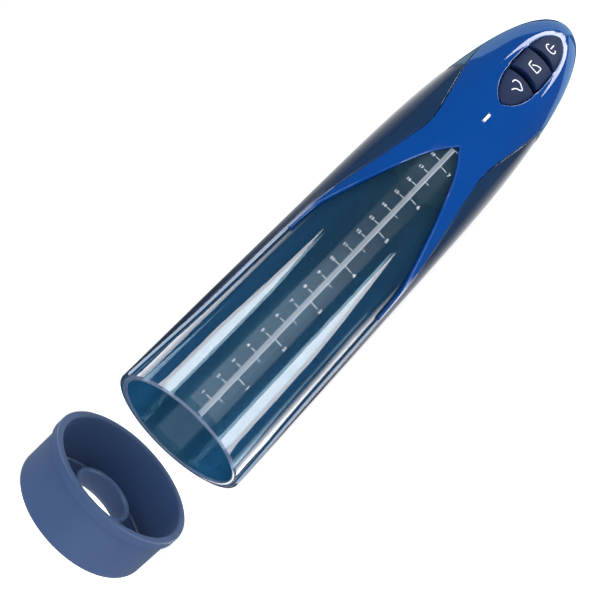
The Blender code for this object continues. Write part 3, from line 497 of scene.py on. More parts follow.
def make_tube(clear, rim):
    outer = [(x, tube_radius(x)) for x in spread(TUBE_LIP, TUBE_LENGTH, 40)]
    inner = [(x, radius - TUBE_WALL) for x, radius in reversed(outer)]
    mouth = outer[0][1]
    lip_inside = arc_points((TUBE_LIP, mouth - TUBE_WALL + TUBE_LIP), TUBE_LIP, 270, 180, 6)
    lip_outside = arc_points((TUBE_LIP, mouth - TUBE_LIP), TUBE_LIP, 180, 90, 6)
    profile = outer + inner[:-1] + lip_inside + lip_outside[:-1]
    bm = bmesh.new()
    add_turned(bm, profile, 180)
    tube = to_object("clear_tube", bm, [clear, rim])
    for face in tube.data.polygons:
        if face.center.x - MOUTH.x < TUBE_LIP:
            face.material_index = 1
    return finish_piece(tube, "pump", "smoke_clear", "cylinder_tube")


# ---- buttons, icons and indicator
def button_top(x, z):
    return front_surface(x, z, BUTTON_PROUD) + BUTTON_DIP * recess_depth(x, z)


def make_button(name, material):
    start, end, stem_x, low_bow, high_bow = BUTTONS[name]
    bm = bmesh.new()
    rows = []
    for place in closing(0.0, 1.0, 34):
        top_row, low_row = [], []
        for across in closing(-1.0, 1.0, 26):
            low = start + low_bow * (1 - across * across)
            high = end + high_bow * (1 - across * across)
            x = low + (high - low) * place
            near = min(x - low if start > LEAF_START + 1 * MM else BUTTON_CORNER,
                       high - x if end < LEAF_END - 1 * MM else BUTTON_CORNER)
            width = max(BUTTON_TIP, leaf_half_width(x, LEAF_CLEARANCE)) - rounding(near, BUTTON_CORNER)
            z = across * width
            inside = min(width - abs(z), near if near < BUTTON_CORNER else width)
            inside = min(inside, x - start + BUTTON_OVERHANG, end + high_bow - x + BUTTON_OVERHANG)
            drop = rounding(max(inside, 0.0), BUTTON_EDGE)
            top_row.append((x, button_top(x, z) + drop, z))
            low_row.append((x, front_surface(x, z) + BUTTON_DEPTH, z))
        rows.append((top_row, low_row, True, True))
    add_shell(bm, rows)
    half = STEM_WIDTH / 2
    add_block(bm, (stem_x - half, stem_x + half), (front_surface(stem_x, 0) + BUTTON_DEPTH, STEM_END),
              (-half, half))
    button = to_object(name + "_cap", bm, [material], sharp=50)
    return finish_piece(button, name, "navy_soft", name)


def add_block(bm, x_span, y_span, z_span):
    spans = (x_span, y_span, z_span)
    centre = [(span[0] + span[1]) / 2 for span in spans]
    size = [abs(span[1] - span[0]) for span in spans]
    placing = Matrix.Translation(centre) @ Matrix.Diagonal((*size, 1.0))
    bmesh.ops.create_cube(bm, size=1.0, matrix=placing)


ICONS = {  # strokes as (x, z) points in millimetres from the icon's middle
    "suction": (246.4, [
        [(-4.0, 0.6), (-2.6, 0.1), (-1.1, -1.0), (-0.4, -2.4), (0.7, -3.4), (1.7, -3.0), (2.3, -1.9),
         (3.2, -0.6), (3.2, 1.3), (2.3, 2.8), (0.4, 3.1)]]),
    "release": (266.4, [
        [(1.2, 3.3), (-1.2, 3.2), (-2.2, 2.4), (-2.5, -2.4), (-1.9, -3.2), (-0.1, -3.3)],
        [(-0.4, 1.3), (0.9, 0.1), (2.0, -1.5), (2.3, -3.0), (0.9, -3.4)]]),
    "power": (286.6, [
        [(2.4 * math.cos(math.radians(angle)) - 0.6, 3.1 * math.sin(math.radians(angle)))
         for angle in range(52, 309, 16)],
        [(-0.6, 0.0), (3.2, 0.0)]]),
}
PRINT_HEIGHT = 0.05 * MM
STROKE_WIDTH = 0.62 * MM


def smooth_line(points, steps=5):
    """A Catmull-Rom curve through flat points."""
    knots = [Vector(point) for point in points]
    knots = [2 * knots[0] - knots[1]] + knots + [2 * knots[-1] - knots[-2]]
    line = []
    for index in range(1, len(knots) - 2):
        a, b, c, d = knots[index - 1:index + 3]
        for step in range(steps):
            t = step / steps
            line.append(0.5 * (2 * b + (c - a) * t + (2 * a - 5 * b + 4 * c - d) * t ** 2
                               + (3 * b - a - 3 * c + d) * t ** 3))
    line.append(knots[-2])
    return line


def print_section(bm, surface, centre, across):
    """Four corners of a print's cross-section. surface(a, b, height) gives a point over the print."""
    left, right = centre + across, centre - across
    corners = ((left, PRINT_HEIGHT), (right, PRINT_HEIGHT), (right, 0.0), (left, 0.0))
    return [bm.verts.new(surface(*corner, height)) for corner, height in corners]


def add_ribbon(bm, line, width, surface):
    """A thin printed stroke with round ends."""
    sections = []
    half = width / 2
    count = len(line)
    for index, place in enumerate(line):
        ahead = (line[min(index + 1, count - 1)] - line[max(index - 1, 0)]).normalized()
        across = Vector((-ahead.y, ahead.x))
        turns = [0.0]
        if index == 0:
            turns = [-90 + 22.5 * step for step in range(5)]
        elif index == count - 1:
            turns = [22.5 * step for step in range(5)]
        for turn in turns:
            angle = math.radians(turn)
            sections.append(print_section(bm, surface, place + ahead * half * math.sin(angle),
                                          across * half * max(0.05, math.cos(angle))))
    add_stack(bm, sections)


def make_icon(name, material):
    middle, strokes = ICONS[name]

    def surface(x, z, height):
        return (x, button_top(x, z) - height, z)

    bm = bmesh.new()
    for stroke in strokes:
        flat = [((middle + x) * MM, z * MM) for x, z in stroke]
        line = smooth_line(flat) if len(flat) > 2 else [Vector(point) for point in flat]
        add_ribbon(bm, line, STROKE_WIDTH, surface)
    icon = to_object(name + "_icon", bm, [material])
    return finish_piece(icon, name + "_button", "white_lens")


def make_light_pipe(material):
    """A slot-shaped lens with a slightly domed, rounded face."""
    half_length = INDICATOR_SIZE[0] / 2
    half_width = INDICATOR_SIZE[1] / 2
    bm = bmesh.new()
    rings = []
    for inset, drop in ((0.0, None), (0.0, 0.3), (0.08, 0.12), (0.22, 0.03), (0.45, 0.0)):
        outline = slot_outline(half_length - inset * MM, half_width - inset * MM, 10)
        ring = []
        for x, z in outline:
            top = front_surface(INDICATOR_X + x, z) - 0.1 * MM
            y = INDICATOR_FOOT if drop is None else top + drop * MM
            ring.append(bm.verts.new((INDICATOR_X + x, y, z)))
        rings.append(ring)
    add_stack(bm, rings)
    lens = to_object("indicator_lens", bm, [material], sharp=45)
    return finish_piece(lens, "pump", "white_lens", "indicator_light_pipe")


# ---- printed scale
INCH = 25.4
SPINE_END = 7.5 * INCH
LINE_WIDTH = 0.28 * MM
TICK_WIDTH = 0.34 * MM
CM_TICK, MM_TICK = 4.7, 2.3       # lengths in millimetres
INCH_TICK, HALF_INCH_TICK = 4.1, 2.2
CM_NUMBERS = (6.7, 2.6)           # distance from the spine and size in millimetres
INCH_NUMBERS = (-6.1, 3.2)


def on_tube(x, side, height):
    """A point on the tube at x and a distance round it from the front line."""
    radius = tube_radius(x) + height + 0.01 * MM
    angle = side / tube_radius(x)
    return (x, -radius * math.cos(angle), radius * math.sin(angle))


def add_print_bar(bm, start, end, width):
    """A straight printed bar between two (x, side) places in millimetres."""
    first, last = Vector(start) * MM, Vector(end) * MM
    ahead = (last - first).normalized()
    across = Vector((-ahead.y, ahead.x)) * width / 2
    count = max(1, int((last - first).length / (1.2 * MM)))
    sections = []
    for step in range(count + 1):
        place = first + (last - first) * step / count
        sections.append(print_section(bm, on_tube, place, across))
    add_stack(bm, sections)


def add_number(bm, text, x, side, size):
    """A printed number that stands upright when the pump's tip points up."""
    curve = bpy.data.curves.new("number", "FONT")
    curve.body = text
    curve.size = size
    curve.align_x = "CENTER"
    curve.align_y = "CENTER"
    curve.resolution_u = 3
    curve.offset = 0.035
    holder = bpy.data.objects.new("number", curve)
    bpy.context.scene.collection.objects.link(holder)
    flat = evaluated_mesh(holder)
    bpy.data.objects.remove(holder, do_unlink=True)
    letters = bmesh.new()
    letters.from_mesh(flat)
    bmesh.ops.remove_doubles(letters, verts=letters.verts, dist=0.001)
    top, low = [{v: bm.verts.new(on_tube((x + v.co.y) * MM, (side - v.co.x) * MM, height))
                 for v in letters.verts} for height in (PRINT_HEIGHT, 0.0)]
    for face in letters.faces:
        bm.faces.new([top[v] for v in face.verts])
        bm.faces.new([low[v] for v in reversed(face.verts)])
    for edge in letters.edges:
        if len(edge.link_faces) == 1:
            a, b = edge.verts
            bm.faces.new((top[a], top[b], low[b], low[a]))
    letters.free()
    bpy.data.meshes.remove(flat)
    bpy.data.curves.remove(curve)


def make_scale(material):
    bm = bmesh.new()
    add_print_bar(bm, (1.0, 0.0), (SPINE_END, 0.0), LINE_WIDTH)
    half_line = LINE_WIDTH / 2 / MM
    for x in range(2, int(SPINE_END) + 1):
        add_print_bar(bm, (x, half_line), (x, CM_TICK if x % 10 == 0 else MM_TICK), TICK_WIDTH)
    for number in range(1, 19):
        add_number(bm, str(number), number * 10, *CM_NUMBERS)
    for half_inch in range(1, 16):
        x = half_inch * INCH / 2
        reach = INCH_TICK if half_inch % 2 == 0 else HALF_INCH_TICK
        add_print_bar(bm, (x, -half_line), (x, -reach), TICK_WIDTH)
    for number in range(1, 8):
        add_number(bm, str(number), number * INCH, *INCH_NUMBERS)
    scale = to_object("printed_scale", bm, [material])
    return finish_piece(scale, "pump", "white_lens")


# ---- sleeve
def sleeve_outline():
    """Closed outline of the cup: x = 0 at the rim, the floor toward -X."""
    lip_edge = 1.0 * MM
    floor_x = -SLEEVE_DEPTH
    floor_inside = floor_x + SLEEVE_SKIN
    fold = (floor_x + FOLD_RADIUS, CUFF_HOLE + FOLD_RADIUS)
    cuff_middle = (-CUFF_BELOW_RIM - SLEEVE_SKIN / 2, CUFF_HOLE + SLEEVE_SKIN / 2)
    bend = 1.2 * MM
    points = arc_points((-lip_edge, SLEEVE_LIP_RADIUS - lip_edge), lip_edge, 0, 90, 6)
    points += arc_points((-4.6 * MM, SLEEVE_LIP_RADIUS - 0.5 * MM), 0.5 * MM, 90, 170, 4)
    points += [(-5.4 * MM, SLEEVE_SIDE + 0.25 * MM), (-5.9 * MM, SLEEVE_SIDE)]
    points += spread_points((-9 * MM, SLEEVE_SIDE), (floor_x + SLEEVE_CORNER + 1 * MM, SLEEVE_SIDE), 5)
    points += arc_points((floor_x + SLEEVE_CORNER, SLEEVE_SIDE - SLEEVE_CORNER), SLEEVE_CORNER, 90, 180, 10)
    points += arc_points(fold, FOLD_RADIUS, 180, 270, 20)
    points += arc_points(cuff_middle, SLEEVE_SKIN / 2, 270, 450, 12)
    points += arc_points(fold, FOLD_RADIUS - SLEEVE_SKIN, 270, 180, 20)
    points += spread_points((floor_inside, fold[1] + 1 * MM),
                            (floor_inside, SLEEVE_BORE - bend - 1 * MM), 3)
    points += arc_points((floor_inside + bend, SLEEVE_BORE - bend), bend, 180, 90, 5)
    points += spread_points((floor_inside + 3 * MM, SLEEVE_BORE), (-4 * MM, SLEEVE_BORE), 5)
    points += arc_points((-lip_edge, SLEEVE_BORE + lip_edge), lip_edge, 270, 360, 6)
    return points


def spread_points(start, end, count):
    return list(zip(spread(start[0], end[0], count), spread(start[1], end[1], count)))


def make_sleeve(material):
    bm = bmesh.new()
    add_turned(bm, sleeve_outline(), 160)
    turn = Matrix.Rotation(-SLEEVE_TURN, 4, "Z")
    sleeve = to_object("soft_sleeve", bm, [material], turn=turn, place=SLEEVE_RIM, sharp=60)
    return finish_piece(sleeve, "sleeve", "silicone_blue", "entry_sleeve")


# ---- materials
class Nodes:
    """Short calls for building one material's node tree."""

    def __init__(self, name):
        self.material = bpy.data.materials.new(name)
        self.material.use_nodes = True
        self.tree = self.material.node_tree
        self.shader = self.tree.nodes["Principled BSDF"]
        self.output = self.tree.nodes["Material Output"]
        self.place = self.add("ShaderNodeTexCoord").outputs["Object"]

    def add(self, kind, **values):
        node = self.tree.nodes.new(kind)
        for key, value in values.items():
            setattr(node, key, value)
        return node

    def link(self, source, target):
        self.tree.links.new(source, target)

    def drive(self, name, source):
        self.link(source, self.shader.inputs[name])

    def noise(self, scale, detail=3.0, stretch=(1, 1, 1), roughness=0.55):
        mapping = self.add("ShaderNodeMapping")
        mapping.inputs["Scale"].default_value = stretch
        self.link(self.place, mapping.inputs["Vector"])
        noise = self.add("ShaderNodeTexNoise")
        noise.inputs["Scale"].default_value = scale
        noise.inputs["Detail"].default_value = detail
        noise.inputs["Roughness"].default_value = roughness
        self.link(mapping.outputs["Vector"], noise.inputs["Vector"])
        return noise.outputs["Fac"]

    def remap(self, source, out_low=0.0, out_high=1.0, low=0.3, high=0.7):
        """Maps low..high of the source to out_low..out_high."""
        node = self.add("ShaderNodeMapRange")
        limits = {"From Min": low, "From Max": high, "To Min": out_low, "To Max": out_high}
        for key, value in limits.items():
            node.inputs[key].default_value = value
        self.link(source, node.inputs["Value"])
        return node.outputs["Result"]

    def mix(self, factor, first, second):
        node = self.add("ShaderNodeMix", data_type="RGBA")
        self.link(factor, node.inputs["Factor"])
        for socket, value in ((node.inputs[6], first), (node.inputs[7], second)):
            if isinstance(value, tuple):
                socket.default_value = (*value, 1.0)
            else:
                self.link(value, socket)
        return node.outputs[2]

    def bump(self, height, strength, distance):
        node = self.add("ShaderNodeBump")
        node.inputs["Strength"].default_value = strength
        node.inputs["Distance"].default_value = distance
        self.link(height, node.inputs["Height"])
        return node.outputs["Normal"]

    def set(self, **values):
        for key, value in values.items():
            self.shader.inputs[key.replace("_", " ")].default_value = value


def shade(colour, factor):
    return tuple(min(1.0, channel * factor) for channel in colour)


def moulded(name, colour, roughness, grain=900.0, bump=0.05, metallic=0.0, vary=0.12, coat=0.0):
    """Moulded plastic, rubber or metal: slow colour drift, fine grain in its gloss and surface."""
    nodes = Nodes(name)
    slow = nodes.noise(38.0, 2.0)
    fine = nodes.noise(grain, 3.0)
    colour_out = nodes.mix(nodes.remap(slow), shade(colour, 1 - vary),
                           shade(colour, 1 + vary))
    nodes.drive("Base Color", colour_out)
    nodes.drive("Roughness", nodes.remap(fine, roughness * 0.85, roughness * 1.15))
    nodes.drive("Normal", nodes.bump(fine, bump, 0.05 * MM))
    nodes.set(Metallic=metallic, Coat_Weight=coat, Coat_Roughness=0.05)
    return nodes


def gloss_blue():
    """Glossy lacquered blue with a faint orange peel and hairline rubbing."""
    nodes = moulded("gloss_blue_shell", (0.0, 0.044, 0.222), 0.07, grain=260.0, bump=0.006, vary=0.04)
    nodes.set(IOR=1.5, Coat_Weight=0.25)
    return nodes.material


def smoke_casing():
    nodes = moulded("smoke_casing_shell", (0.005, 0.024, 0.068), 0.13, grain=300.0, bump=0.012, vary=0.10)
    nodes.set(IOR=1.5, Coat_Weight=0.5)
    return nodes.material


def casing_edge():
    """The casing's edge along the cylinder, painted paler than its sides as a painted highlight."""
    return moulded("smoke_casing_edge", (0.30, 0.36, 0.46), 0.22, grain=500.0, bump=0.02).material


LINING_SHADE_BLEND = (13 * MM, 23 * MM)     # distance from the middle line over which the painted shade turns to painted light


def casing_lining():
    """The inside of the casing, a lighter teal that shows through the cylinder, with painted shade near the
    middle line and painted light toward the sides.
    """
    nodes = Nodes("smoke_casing_lining")
    split = nodes.add("ShaderNodeSeparateXYZ")
    nodes.link(nodes.place, split.inputs["Vector"])
    off_axis = nodes.add("ShaderNodeMath", operation="SUBTRACT")
    nodes.link(split.outputs["Z"], off_axis.inputs[0])
    off_axis.inputs[1].default_value = MOUTH.z
    distance = nodes.add("ShaderNodeMath", operation="ABSOLUTE")
    nodes.link(off_axis.outputs["Value"], distance.inputs[0])
    painted_light_toward_side = nodes.remap(distance.outputs["Value"], 0.0, 1.0, *LINING_SHADE_BLEND)
    cloud = nodes.remap(nodes.noise(38.0, 2.0))
    # painted shade near the middle line, painted light toward the sides
    middle = nodes.mix(cloud, (0.010, 0.060, 0.112), (0.013, 0.072, 0.130))
    side = nodes.mix(cloud, (0.030, 0.130, 0.235), (0.036, 0.150, 0.265))
    nodes.drive("Base Color", nodes.mix(painted_light_toward_side, middle, side))
    nodes.drive("Roughness", nodes.remap(nodes.noise(300.0), 0.26, 0.36))
    return nodes.material


def thin_clear(name, tint, edge_tint, roughness, haze, haze_colour):
    """Clear tinted wall: what is behind shows through a tint that deepens where the wall is seen
    edge-on, a share that grows toward grazing angles mirrors, and a faint haze catches the light."""
    nodes = Nodes(name)
    facing = nodes.add("ShaderNodeLayerWeight")
    facing.inputs["Blend"].default_value = 0.35
    through = nodes.add("ShaderNodeBsdfTransparent")
    nodes.link(nodes.mix(facing.outputs["Facing"], tint, edge_tint), through.inputs["Color"])
    smear = nodes.noise(60.0, 4.0, (0.35, 1, 1))
    nodes.drive("Base Color",
                nodes.mix(nodes.remap(smear), shade(haze_colour, 0.85), shade(haze_colour, 1.15)))
    nodes.set(Roughness=0.4, Specular_IOR_Level=0.0)
    veil = nodes.add("ShaderNodeMixShader")
    veil.inputs["Fac"].default_value = haze
    nodes.link(through.outputs["BSDF"], veil.inputs[1])
    nodes.link(nodes.shader.outputs["BSDF"], veil.inputs[2])
    mirror = nodes.add("ShaderNodeBsdfAnisotropic")
    mirror.inputs["Color"].default_value = (1, 1, 1, 1)
    nodes.link(nodes.remap(smear, roughness, roughness * 1.8, 0.35, 0.75), mirror.inputs["Roughness"])
    slant = nodes.add("ShaderNodeLayerWeight")
    slant.inputs["Blend"].default_value = 0.5
    fifth = nodes.add("ShaderNodeMath", operation="POWER")
    fifth.inputs[1].default_value = 5.0
    nodes.link(slant.outputs["Facing"], fifth.inputs[0])
    surface = nodes.add("ShaderNodeMixShader")
    nodes.link(nodes.remap(fifth.outputs["Value"], 0.04, 0.9, 0.0, 1.0), surface.inputs["Fac"])
    nodes.link(veil.outputs["Shader"], surface.inputs[1])
    nodes.link(mirror.outputs["BSDF"], surface.inputs[2])
    nodes.link(surface.outputs["Shader"], nodes.output.inputs["Surface"])
    return nodes.material


def soft_navy():
    nodes = moulded("soft_navy_cap", (0.004, 0.014, 0.054), 0.42, grain=1500.0, bump=0.10, vary=0.08)
    nodes.set(Specular_IOR_Level=0.08)
    return nodes.material


def white_print(name, colour, alpha):
    nodes = moulded(name, colour, 0.5, grain=2200.0, bump=0.05, vary=0.06)
    patchy = nodes.noise(700.0, 2.0)
    nodes.drive("Alpha", nodes.remap(patchy, alpha * 0.85, alpha, 0.2, 0.6))
    return nodes.material


def silicone():
    """Soft-touch silicone: satin grain, a slightly lighter powdery bloom and a soft sheen."""
    nodes = moulded("silicone_blue_skin", (0.030, 0.066, 0.165), 0.5, grain=1300.0, bump=0.16, vary=0.06)
    nodes.set(Sheen_Weight=0.12, Sheen_Roughness=0.45, Subsurface_Weight=0.05)
    nodes.shader.inputs["Sheen Tint"].default_value = (0.55, 0.68, 0.95, 1.0)
    nodes.shader.inputs["Subsurface Radius"].default_value = (0.4 * MM, 0.6 * MM, 1.0 * MM)
    return nodes.material


def brushed(name, colour, roughness, direction):
    """Metal with fine lines along or round the part."""
    nodes = Nodes(name)
    lines = nodes.noise(900.0, 2.0, direction)
    cloud = nodes.noise(90.0, 3.0)
    nodes.drive("Base Color",
                nodes.mix(nodes.remap(cloud), shade(colour, 0.85), shade(colour, 1.1)))
    nodes.drive("Roughness", nodes.remap(lines, roughness * 0.7, roughness * 1.3))
    nodes.drive("Normal", nodes.bump(lines, 0.12, 0.03 * MM))
    nodes.set(Metallic=1.0)
    return nodes.material


def circuit_board():
    """Green lacquer over a faint pattern of copper tracks."""
    nodes = Nodes("board_green_lacquer")
    tracks = nodes.add("ShaderNodeTexBrick")
    tracks.inputs["Scale"].default_value = 220.0
    tracks.inputs["Mortar Size"].default_value = 0.03
    colours = {"Color1": (0.012, 0.13, 0.05), "Color2": (0.02, 0.17, 0.07), "Mortar": (0.06, 0.26, 0.12)}
    for socket, colour in colours.items():
        tracks.inputs[socket].default_value = (*colour, 1)
    turn = nodes.add("ShaderNodeMapping")
    turn.inputs["Rotation"].default_value = (math.pi / 2, 0, 0)
    nodes.link(nodes.place, turn.inputs["Vector"])
    nodes.link(turn.outputs["Vector"], tracks.inputs["Vector"])
    nodes.drive("Base Color", tracks.outputs["Color"])
    nodes.drive("Roughness", nodes.remap(nodes.noise(400.0), 0.25, 0.4))
    nodes.drive("Normal", nodes.bump(tracks.outputs["Fac"], 0.2, 0.05 * MM))
    return nodes.material


def inner_materials():
    """A finished material for each slot that a carried-over CAD node uses."""
    clear_hose = moulded("hose_clear_wall", (0.70, 0.75, 0.78), 0.22, bump=0.03, vary=0.05)
    clear_hose.set(Transmission_Weight=0.35, IOR=1.42)
    lens = moulded("white_lens_body", (0.80, 0.85, 0.9), 0.3, bump=0.02, vary=0.03)
    plain = {  # slot: ending of the name, colour, roughness, grain and bump
        "navy_seal": ("rubber", (0.006, 0.008, 0.026), 0.55, 900.0, 0.12),
        "frame_grey": ("plastic", (0.10, 0.11, 0.13), 0.5, 700.0, 0.12),
        "pump_grey": ("plastic", (0.42, 0.44, 0.46), 0.45, 900.0, 0.08),
        "switch_black": ("plastic", (0.018, 0.018, 0.02), 0.42, 900.0, 0.08),
        "magnet_grey": ("sintered", (0.10, 0.10, 0.11), 0.62, 2500.0, 0.3),
        "black_rubber": ("moulded", (0.016, 0.016, 0.017), 0.65, 900.0, 0.2),
        "battery_blue": ("film", (0.02, 0.10, 0.28), 0.3, 180.0, 0.08),
        "wire_red": ("sleeve", (0.42, 0.02, 0.02), 0.4, 900.0, 0.08),
    }
    materials = {slot: moulded(f"{slot}_{ending}", *values).material
                 for slot, (ending, *values) in plain.items()}
    materials["hose_clear"] = clear_hose.material
    materials["white_lens"] = lens.material
    materials["board_green"] = circuit_board()
    materials["screw_steel"] = brushed("screw_steel_turned", (0.60, 0.60, 0.61), 0.28, (1, 1, 4))
    materials["motor_steel"] = brushed("motor_steel_drawn", (0.55, 0.56, 0.57), 0.26, (0.1, 1, 1))
    materials["brass_yellow"] = brushed("brass_yellow_turned", (0.68, 0.47, 0.18), 0.25, (0.1, 1, 1))
    return materials


def dress_cad_nodes(materials):
    slots = {row["node"]: row["material_slot"] for row in frame["record"]["subparts"]}
    for name, thing in frame["nodes"].items():
        material = materials.get(slots[name])
        if material is not None and not thing.hide_render:
            thing.data.materials.clear()
            thing.data.materials.append(material)


# ---- camera
def camera_axes():
    """Unit vectors to the right, up and away, before the camera is rolled."""
    level_away = Vector((math.sin(CAMERA_TURN), math.cos(CAMERA_TURN), 0))
    right = Vector((math.cos(CAMERA_TURN), -math.sin(CAMERA_TURN), 0))
    away = level_away * math.cos(CAMERA_LIFT) - Vector((0, 0, math.sin(CAMERA_LIFT)))
    rise = right.cross(away)
    return right, rise, away


def camera_place():
    right, rise, away = camera_axes()
    return MOUTH - right * CAMERA_ALONG - away * CAMERA_DISTANCE + rise * CAMERA_RISE


def make_camera():
    data = bpy.data.cameras.new("camera")
    data.lens = LENS
    data.sensor_width = SENSOR
    data.clip_start = 0.01
    data.clip_end = 50
    camera = bpy.data.objects.new("camera", data)
    right, rise, away = camera_axes()
    across = right * math.cos(CAMERA_ROLL) - rise * math.sin(CAMERA_ROLL)
    upward = right * math.sin(CAMERA_ROLL) + rise * math.cos(CAMERA_ROLL)
    turn = Matrix((across, upward, -away)).transposed().to_4x4()
    camera.matrix_world = Matrix.Translation(camera_place()) @ turn
    bpy.context.scene.collection.objects.link(camera)
    bpy.context.scene.camera = camera


# ---- studio
WHITE = (1.0, 1.0, 1.0)
NOSE_TINT = (0.5, 0.78, 1.0)
FLOOR_RADIUS = 6.0
KEY_PLACE = (-0.5, -1.2, 1.3)
KEY_SIZE = 1.2
KEY_POWER = 12


def mirrored_ray(x, angle, radius_of):
    """Where the camera's ray goes from a point on the pump, as a start and a direction."""
    radius = radius_of(x)
    place = MOUTH + Vector((x, -radius * math.cos(angle), radius * math.sin(angle)))
    step = 1 * MM
    slope = (radius_of(x + step) - radius_of(x - step)) / (2 * step)
    normal = Vector((-slope, -math.cos(angle), math.sin(angle))).normalized()
    ray = (place - camera_place()).normalized()
    return place, ray - 2 * ray.dot(normal) * normal


def stage_object(name, bm, material):
    """An object that belongs to the studio and not to the pump."""
    mesh = bpy.data.meshes.new(name)
    bm.to_mesh(mesh)
    bm.free()
    mesh.materials.append(material)
    thing = bpy.data.objects.new(name, mesh)
    bpy.context.scene.collection.objects.link(thing)
    thing.visible_shadow = False
    return thing


def glow_material(name, strength):
    material = bpy.data.materials.new(name)
    material.use_nodes = True
    tree = material.node_tree
    tree.nodes.clear()
    glow = tree.nodes.new("ShaderNodeVertexColor")
    glow.layer_name = "glow"
    light = tree.nodes.new("ShaderNodeEmission")
    light.inputs["Strength"].default_value = strength
    output = tree.nodes.new("ShaderNodeOutputMaterial")
    tree.links.new(glow.outputs["Color"], light.inputs["Color"])
    tree.links.new(light.outputs["Emission"], output.inputs["Surface"])
    return material


def lit_panel(name, rows, strength, tint=WHITE):
    """A lit panel, seen only in reflections. Each row holds (place, brightness) pairs."""
    bm = bmesh.new()
    layer = bm.loops.layers.float_color.new("glow")
    grid = [[(bm.verts.new(place), glow) for place, glow in row] for row in rows]
    for first, second in zip(grid, grid[1:]):
        for index in range(len(first) - 1):
            corners = (first[index], first[index + 1], second[index + 1], second[index])
            face = bm.faces.new([corner[0] for corner in corners])
            for loop, corner in zip(face.loops, corners):
                loop[layer] = (*shade(tint, corner[1]), 1.0)
    panel = stage_object(name, bm, glow_material(name, strength))
    panel.visible_camera = False
    panel.visible_diffuse = False
    panel.visible_transmission = False


def softbox(name, strength, stations, distance=0.9, radius_of=tube_radius, tint=WHITE):
    """A panel that shows on the pump between two angles. Each station is x in mm, the two angles
    in degrees and the brightness at each of them."""
    rows = []
    for x, low, high, low_glow, high_glow in stations:
        row = []
        for step in range(5):
            share = step / 4
            start, ray = mirrored_ray(x * MM, math.radians(low + (high - low) * share), radius_of)
            row.append((start + ray * distance, low_glow + (high_glow - low_glow) * share))
        rows.append(row)
    lit_panel(name, rows, strength, tint)


RIM_PANEL_HALF = 38 * MM
GLINT_STARTS = (250 * MM, 256 * MM)   # where the dish's light line starts above and below
GLINT_END = 303 * MM


def rim_light(name, strength, distance=0.9):
    """A panel mirrored by the flat rim of the mouth, brightest on the rim's front side."""
    rows = []
    for y, glow in ((-RIM_PANEL_HALF, 1.0), (-12 * MM, 0.8), (5 * MM, 0.25), (RIM_PANEL_HALF, 0.04)):
        row = []
        for z in spread(-RIM_PANEL_HALF, RIM_PANEL_HALF, 4):
            start = MOUTH + Vector((0, y, z))
            ray = (start - camera_place()).normalized()
            row.append((start + Vector((-ray.x, ray.y, ray.z)) * distance, glow))
        rows.append(row)
    lit_panel(name, rows, strength)


def dish_ray(x, z):
    """The camera's ray mirrored by the cover's front at (x, z), dish included."""
    def height(x, z):
        return front_surface(x, z) + recess_depth(x, z)

    step = 0.1 * MM
    normal = Vector(((height(x + step, z) - height(x - step, z)) / (2 * step), -1.0,
                     (height(x, z + step) - height(x, z - step)) / (2 * step))).normalized()
    place = MOUTH + Vector((x, height(x, z), z))
    ray = (place - camera_place()).normalized()
    return place, ray - 2 * ray.dot(normal) * normal


def dish_light(name, strength, distance=0.9):
    """A panel that shows on the dish's sloping edge round the tip of the power button, evenly bright."""
    rows = []
    places = [(x, 1) for x in spread(GLINT_STARTS[0], GLINT_END, 24)]
    places += [(x, -1) for x in reversed(spread(GLINT_STARTS[1], GLINT_END, 20))]
    for x, side in places:
        row = []
        for share in (0.1, 0.35, 0.65, 0.9):
            z = side * max(0.2 * MM, recess_half_width(x) - share * bevel_width(x))
            start, ray = dish_ray(x, z)
            row.append((start + ray * distance, 1.0))
        rows.append(row)
    lit_panel(name, rows, strength)


def make_floor():
    bm = bmesh.new()
    bmesh.ops.create_circle(bm, cap_ends=True, segments=96, radius=FLOOR_RADIUS)
    nodes = Nodes("pale_floor")
    nodes.drive("Base Color", nodes.mix(nodes.noise(3.0), (0.90, 0.90, 0.90), (0.93, 0.93, 0.93)))
    nodes.set(Roughness=0.9, Specular_IOR_Level=0.1, Emission_Strength=0.85)
    nodes.shader.inputs["Emission Color"].default_value = (1, 1, 1, 1)
    stage_object("floor", bm, nodes.material).visible_glossy = False


def make_world():
    """White for the camera and for diffuse light, dim for mirror reflections."""
    world = bpy.data.worlds.new("studio")
    bpy.context.scene.world = world
    world.use_nodes = True
    tree = world.node_tree
    tree.nodes.clear()
    path = tree.nodes.new("ShaderNodeLightPath")
    mix = tree.nodes.new("ShaderNodeMixShader")
    output = tree.nodes.new("ShaderNodeOutputWorld")
    for socket, colour, strength in ((1, WHITE, 1.0), (2, (0.75, 0.85, 1.0), 0.1)):
        background = tree.nodes.new("ShaderNodeBackground")
        background.inputs["Color"].default_value = (*colour, 1.0)
        background.inputs["Strength"].default_value = strength
        tree.links.new(background.outputs["Background"], mix.inputs[socket])
    tree.links.new(path.outputs["Is Glossy Ray"], mix.inputs["Fac"])
    tree.links.new(mix.outputs["Shader"], output.inputs["Surface"])


def make_key_light():
    data = bpy.data.lights.new("key", "AREA")
    data.size = KEY_SIZE
    data.energy = KEY_POWER
    light = bpy.data.objects.new("key", data)
    light.location = KEY_PLACE
    light.rotation_euler = (-Vector(KEY_PLACE)).to_track_quat("-Z", "Y").to_euler()
    light.visible_camera = False
    light.visible_glossy = False
    bpy.context.scene.collection.objects.link(light)


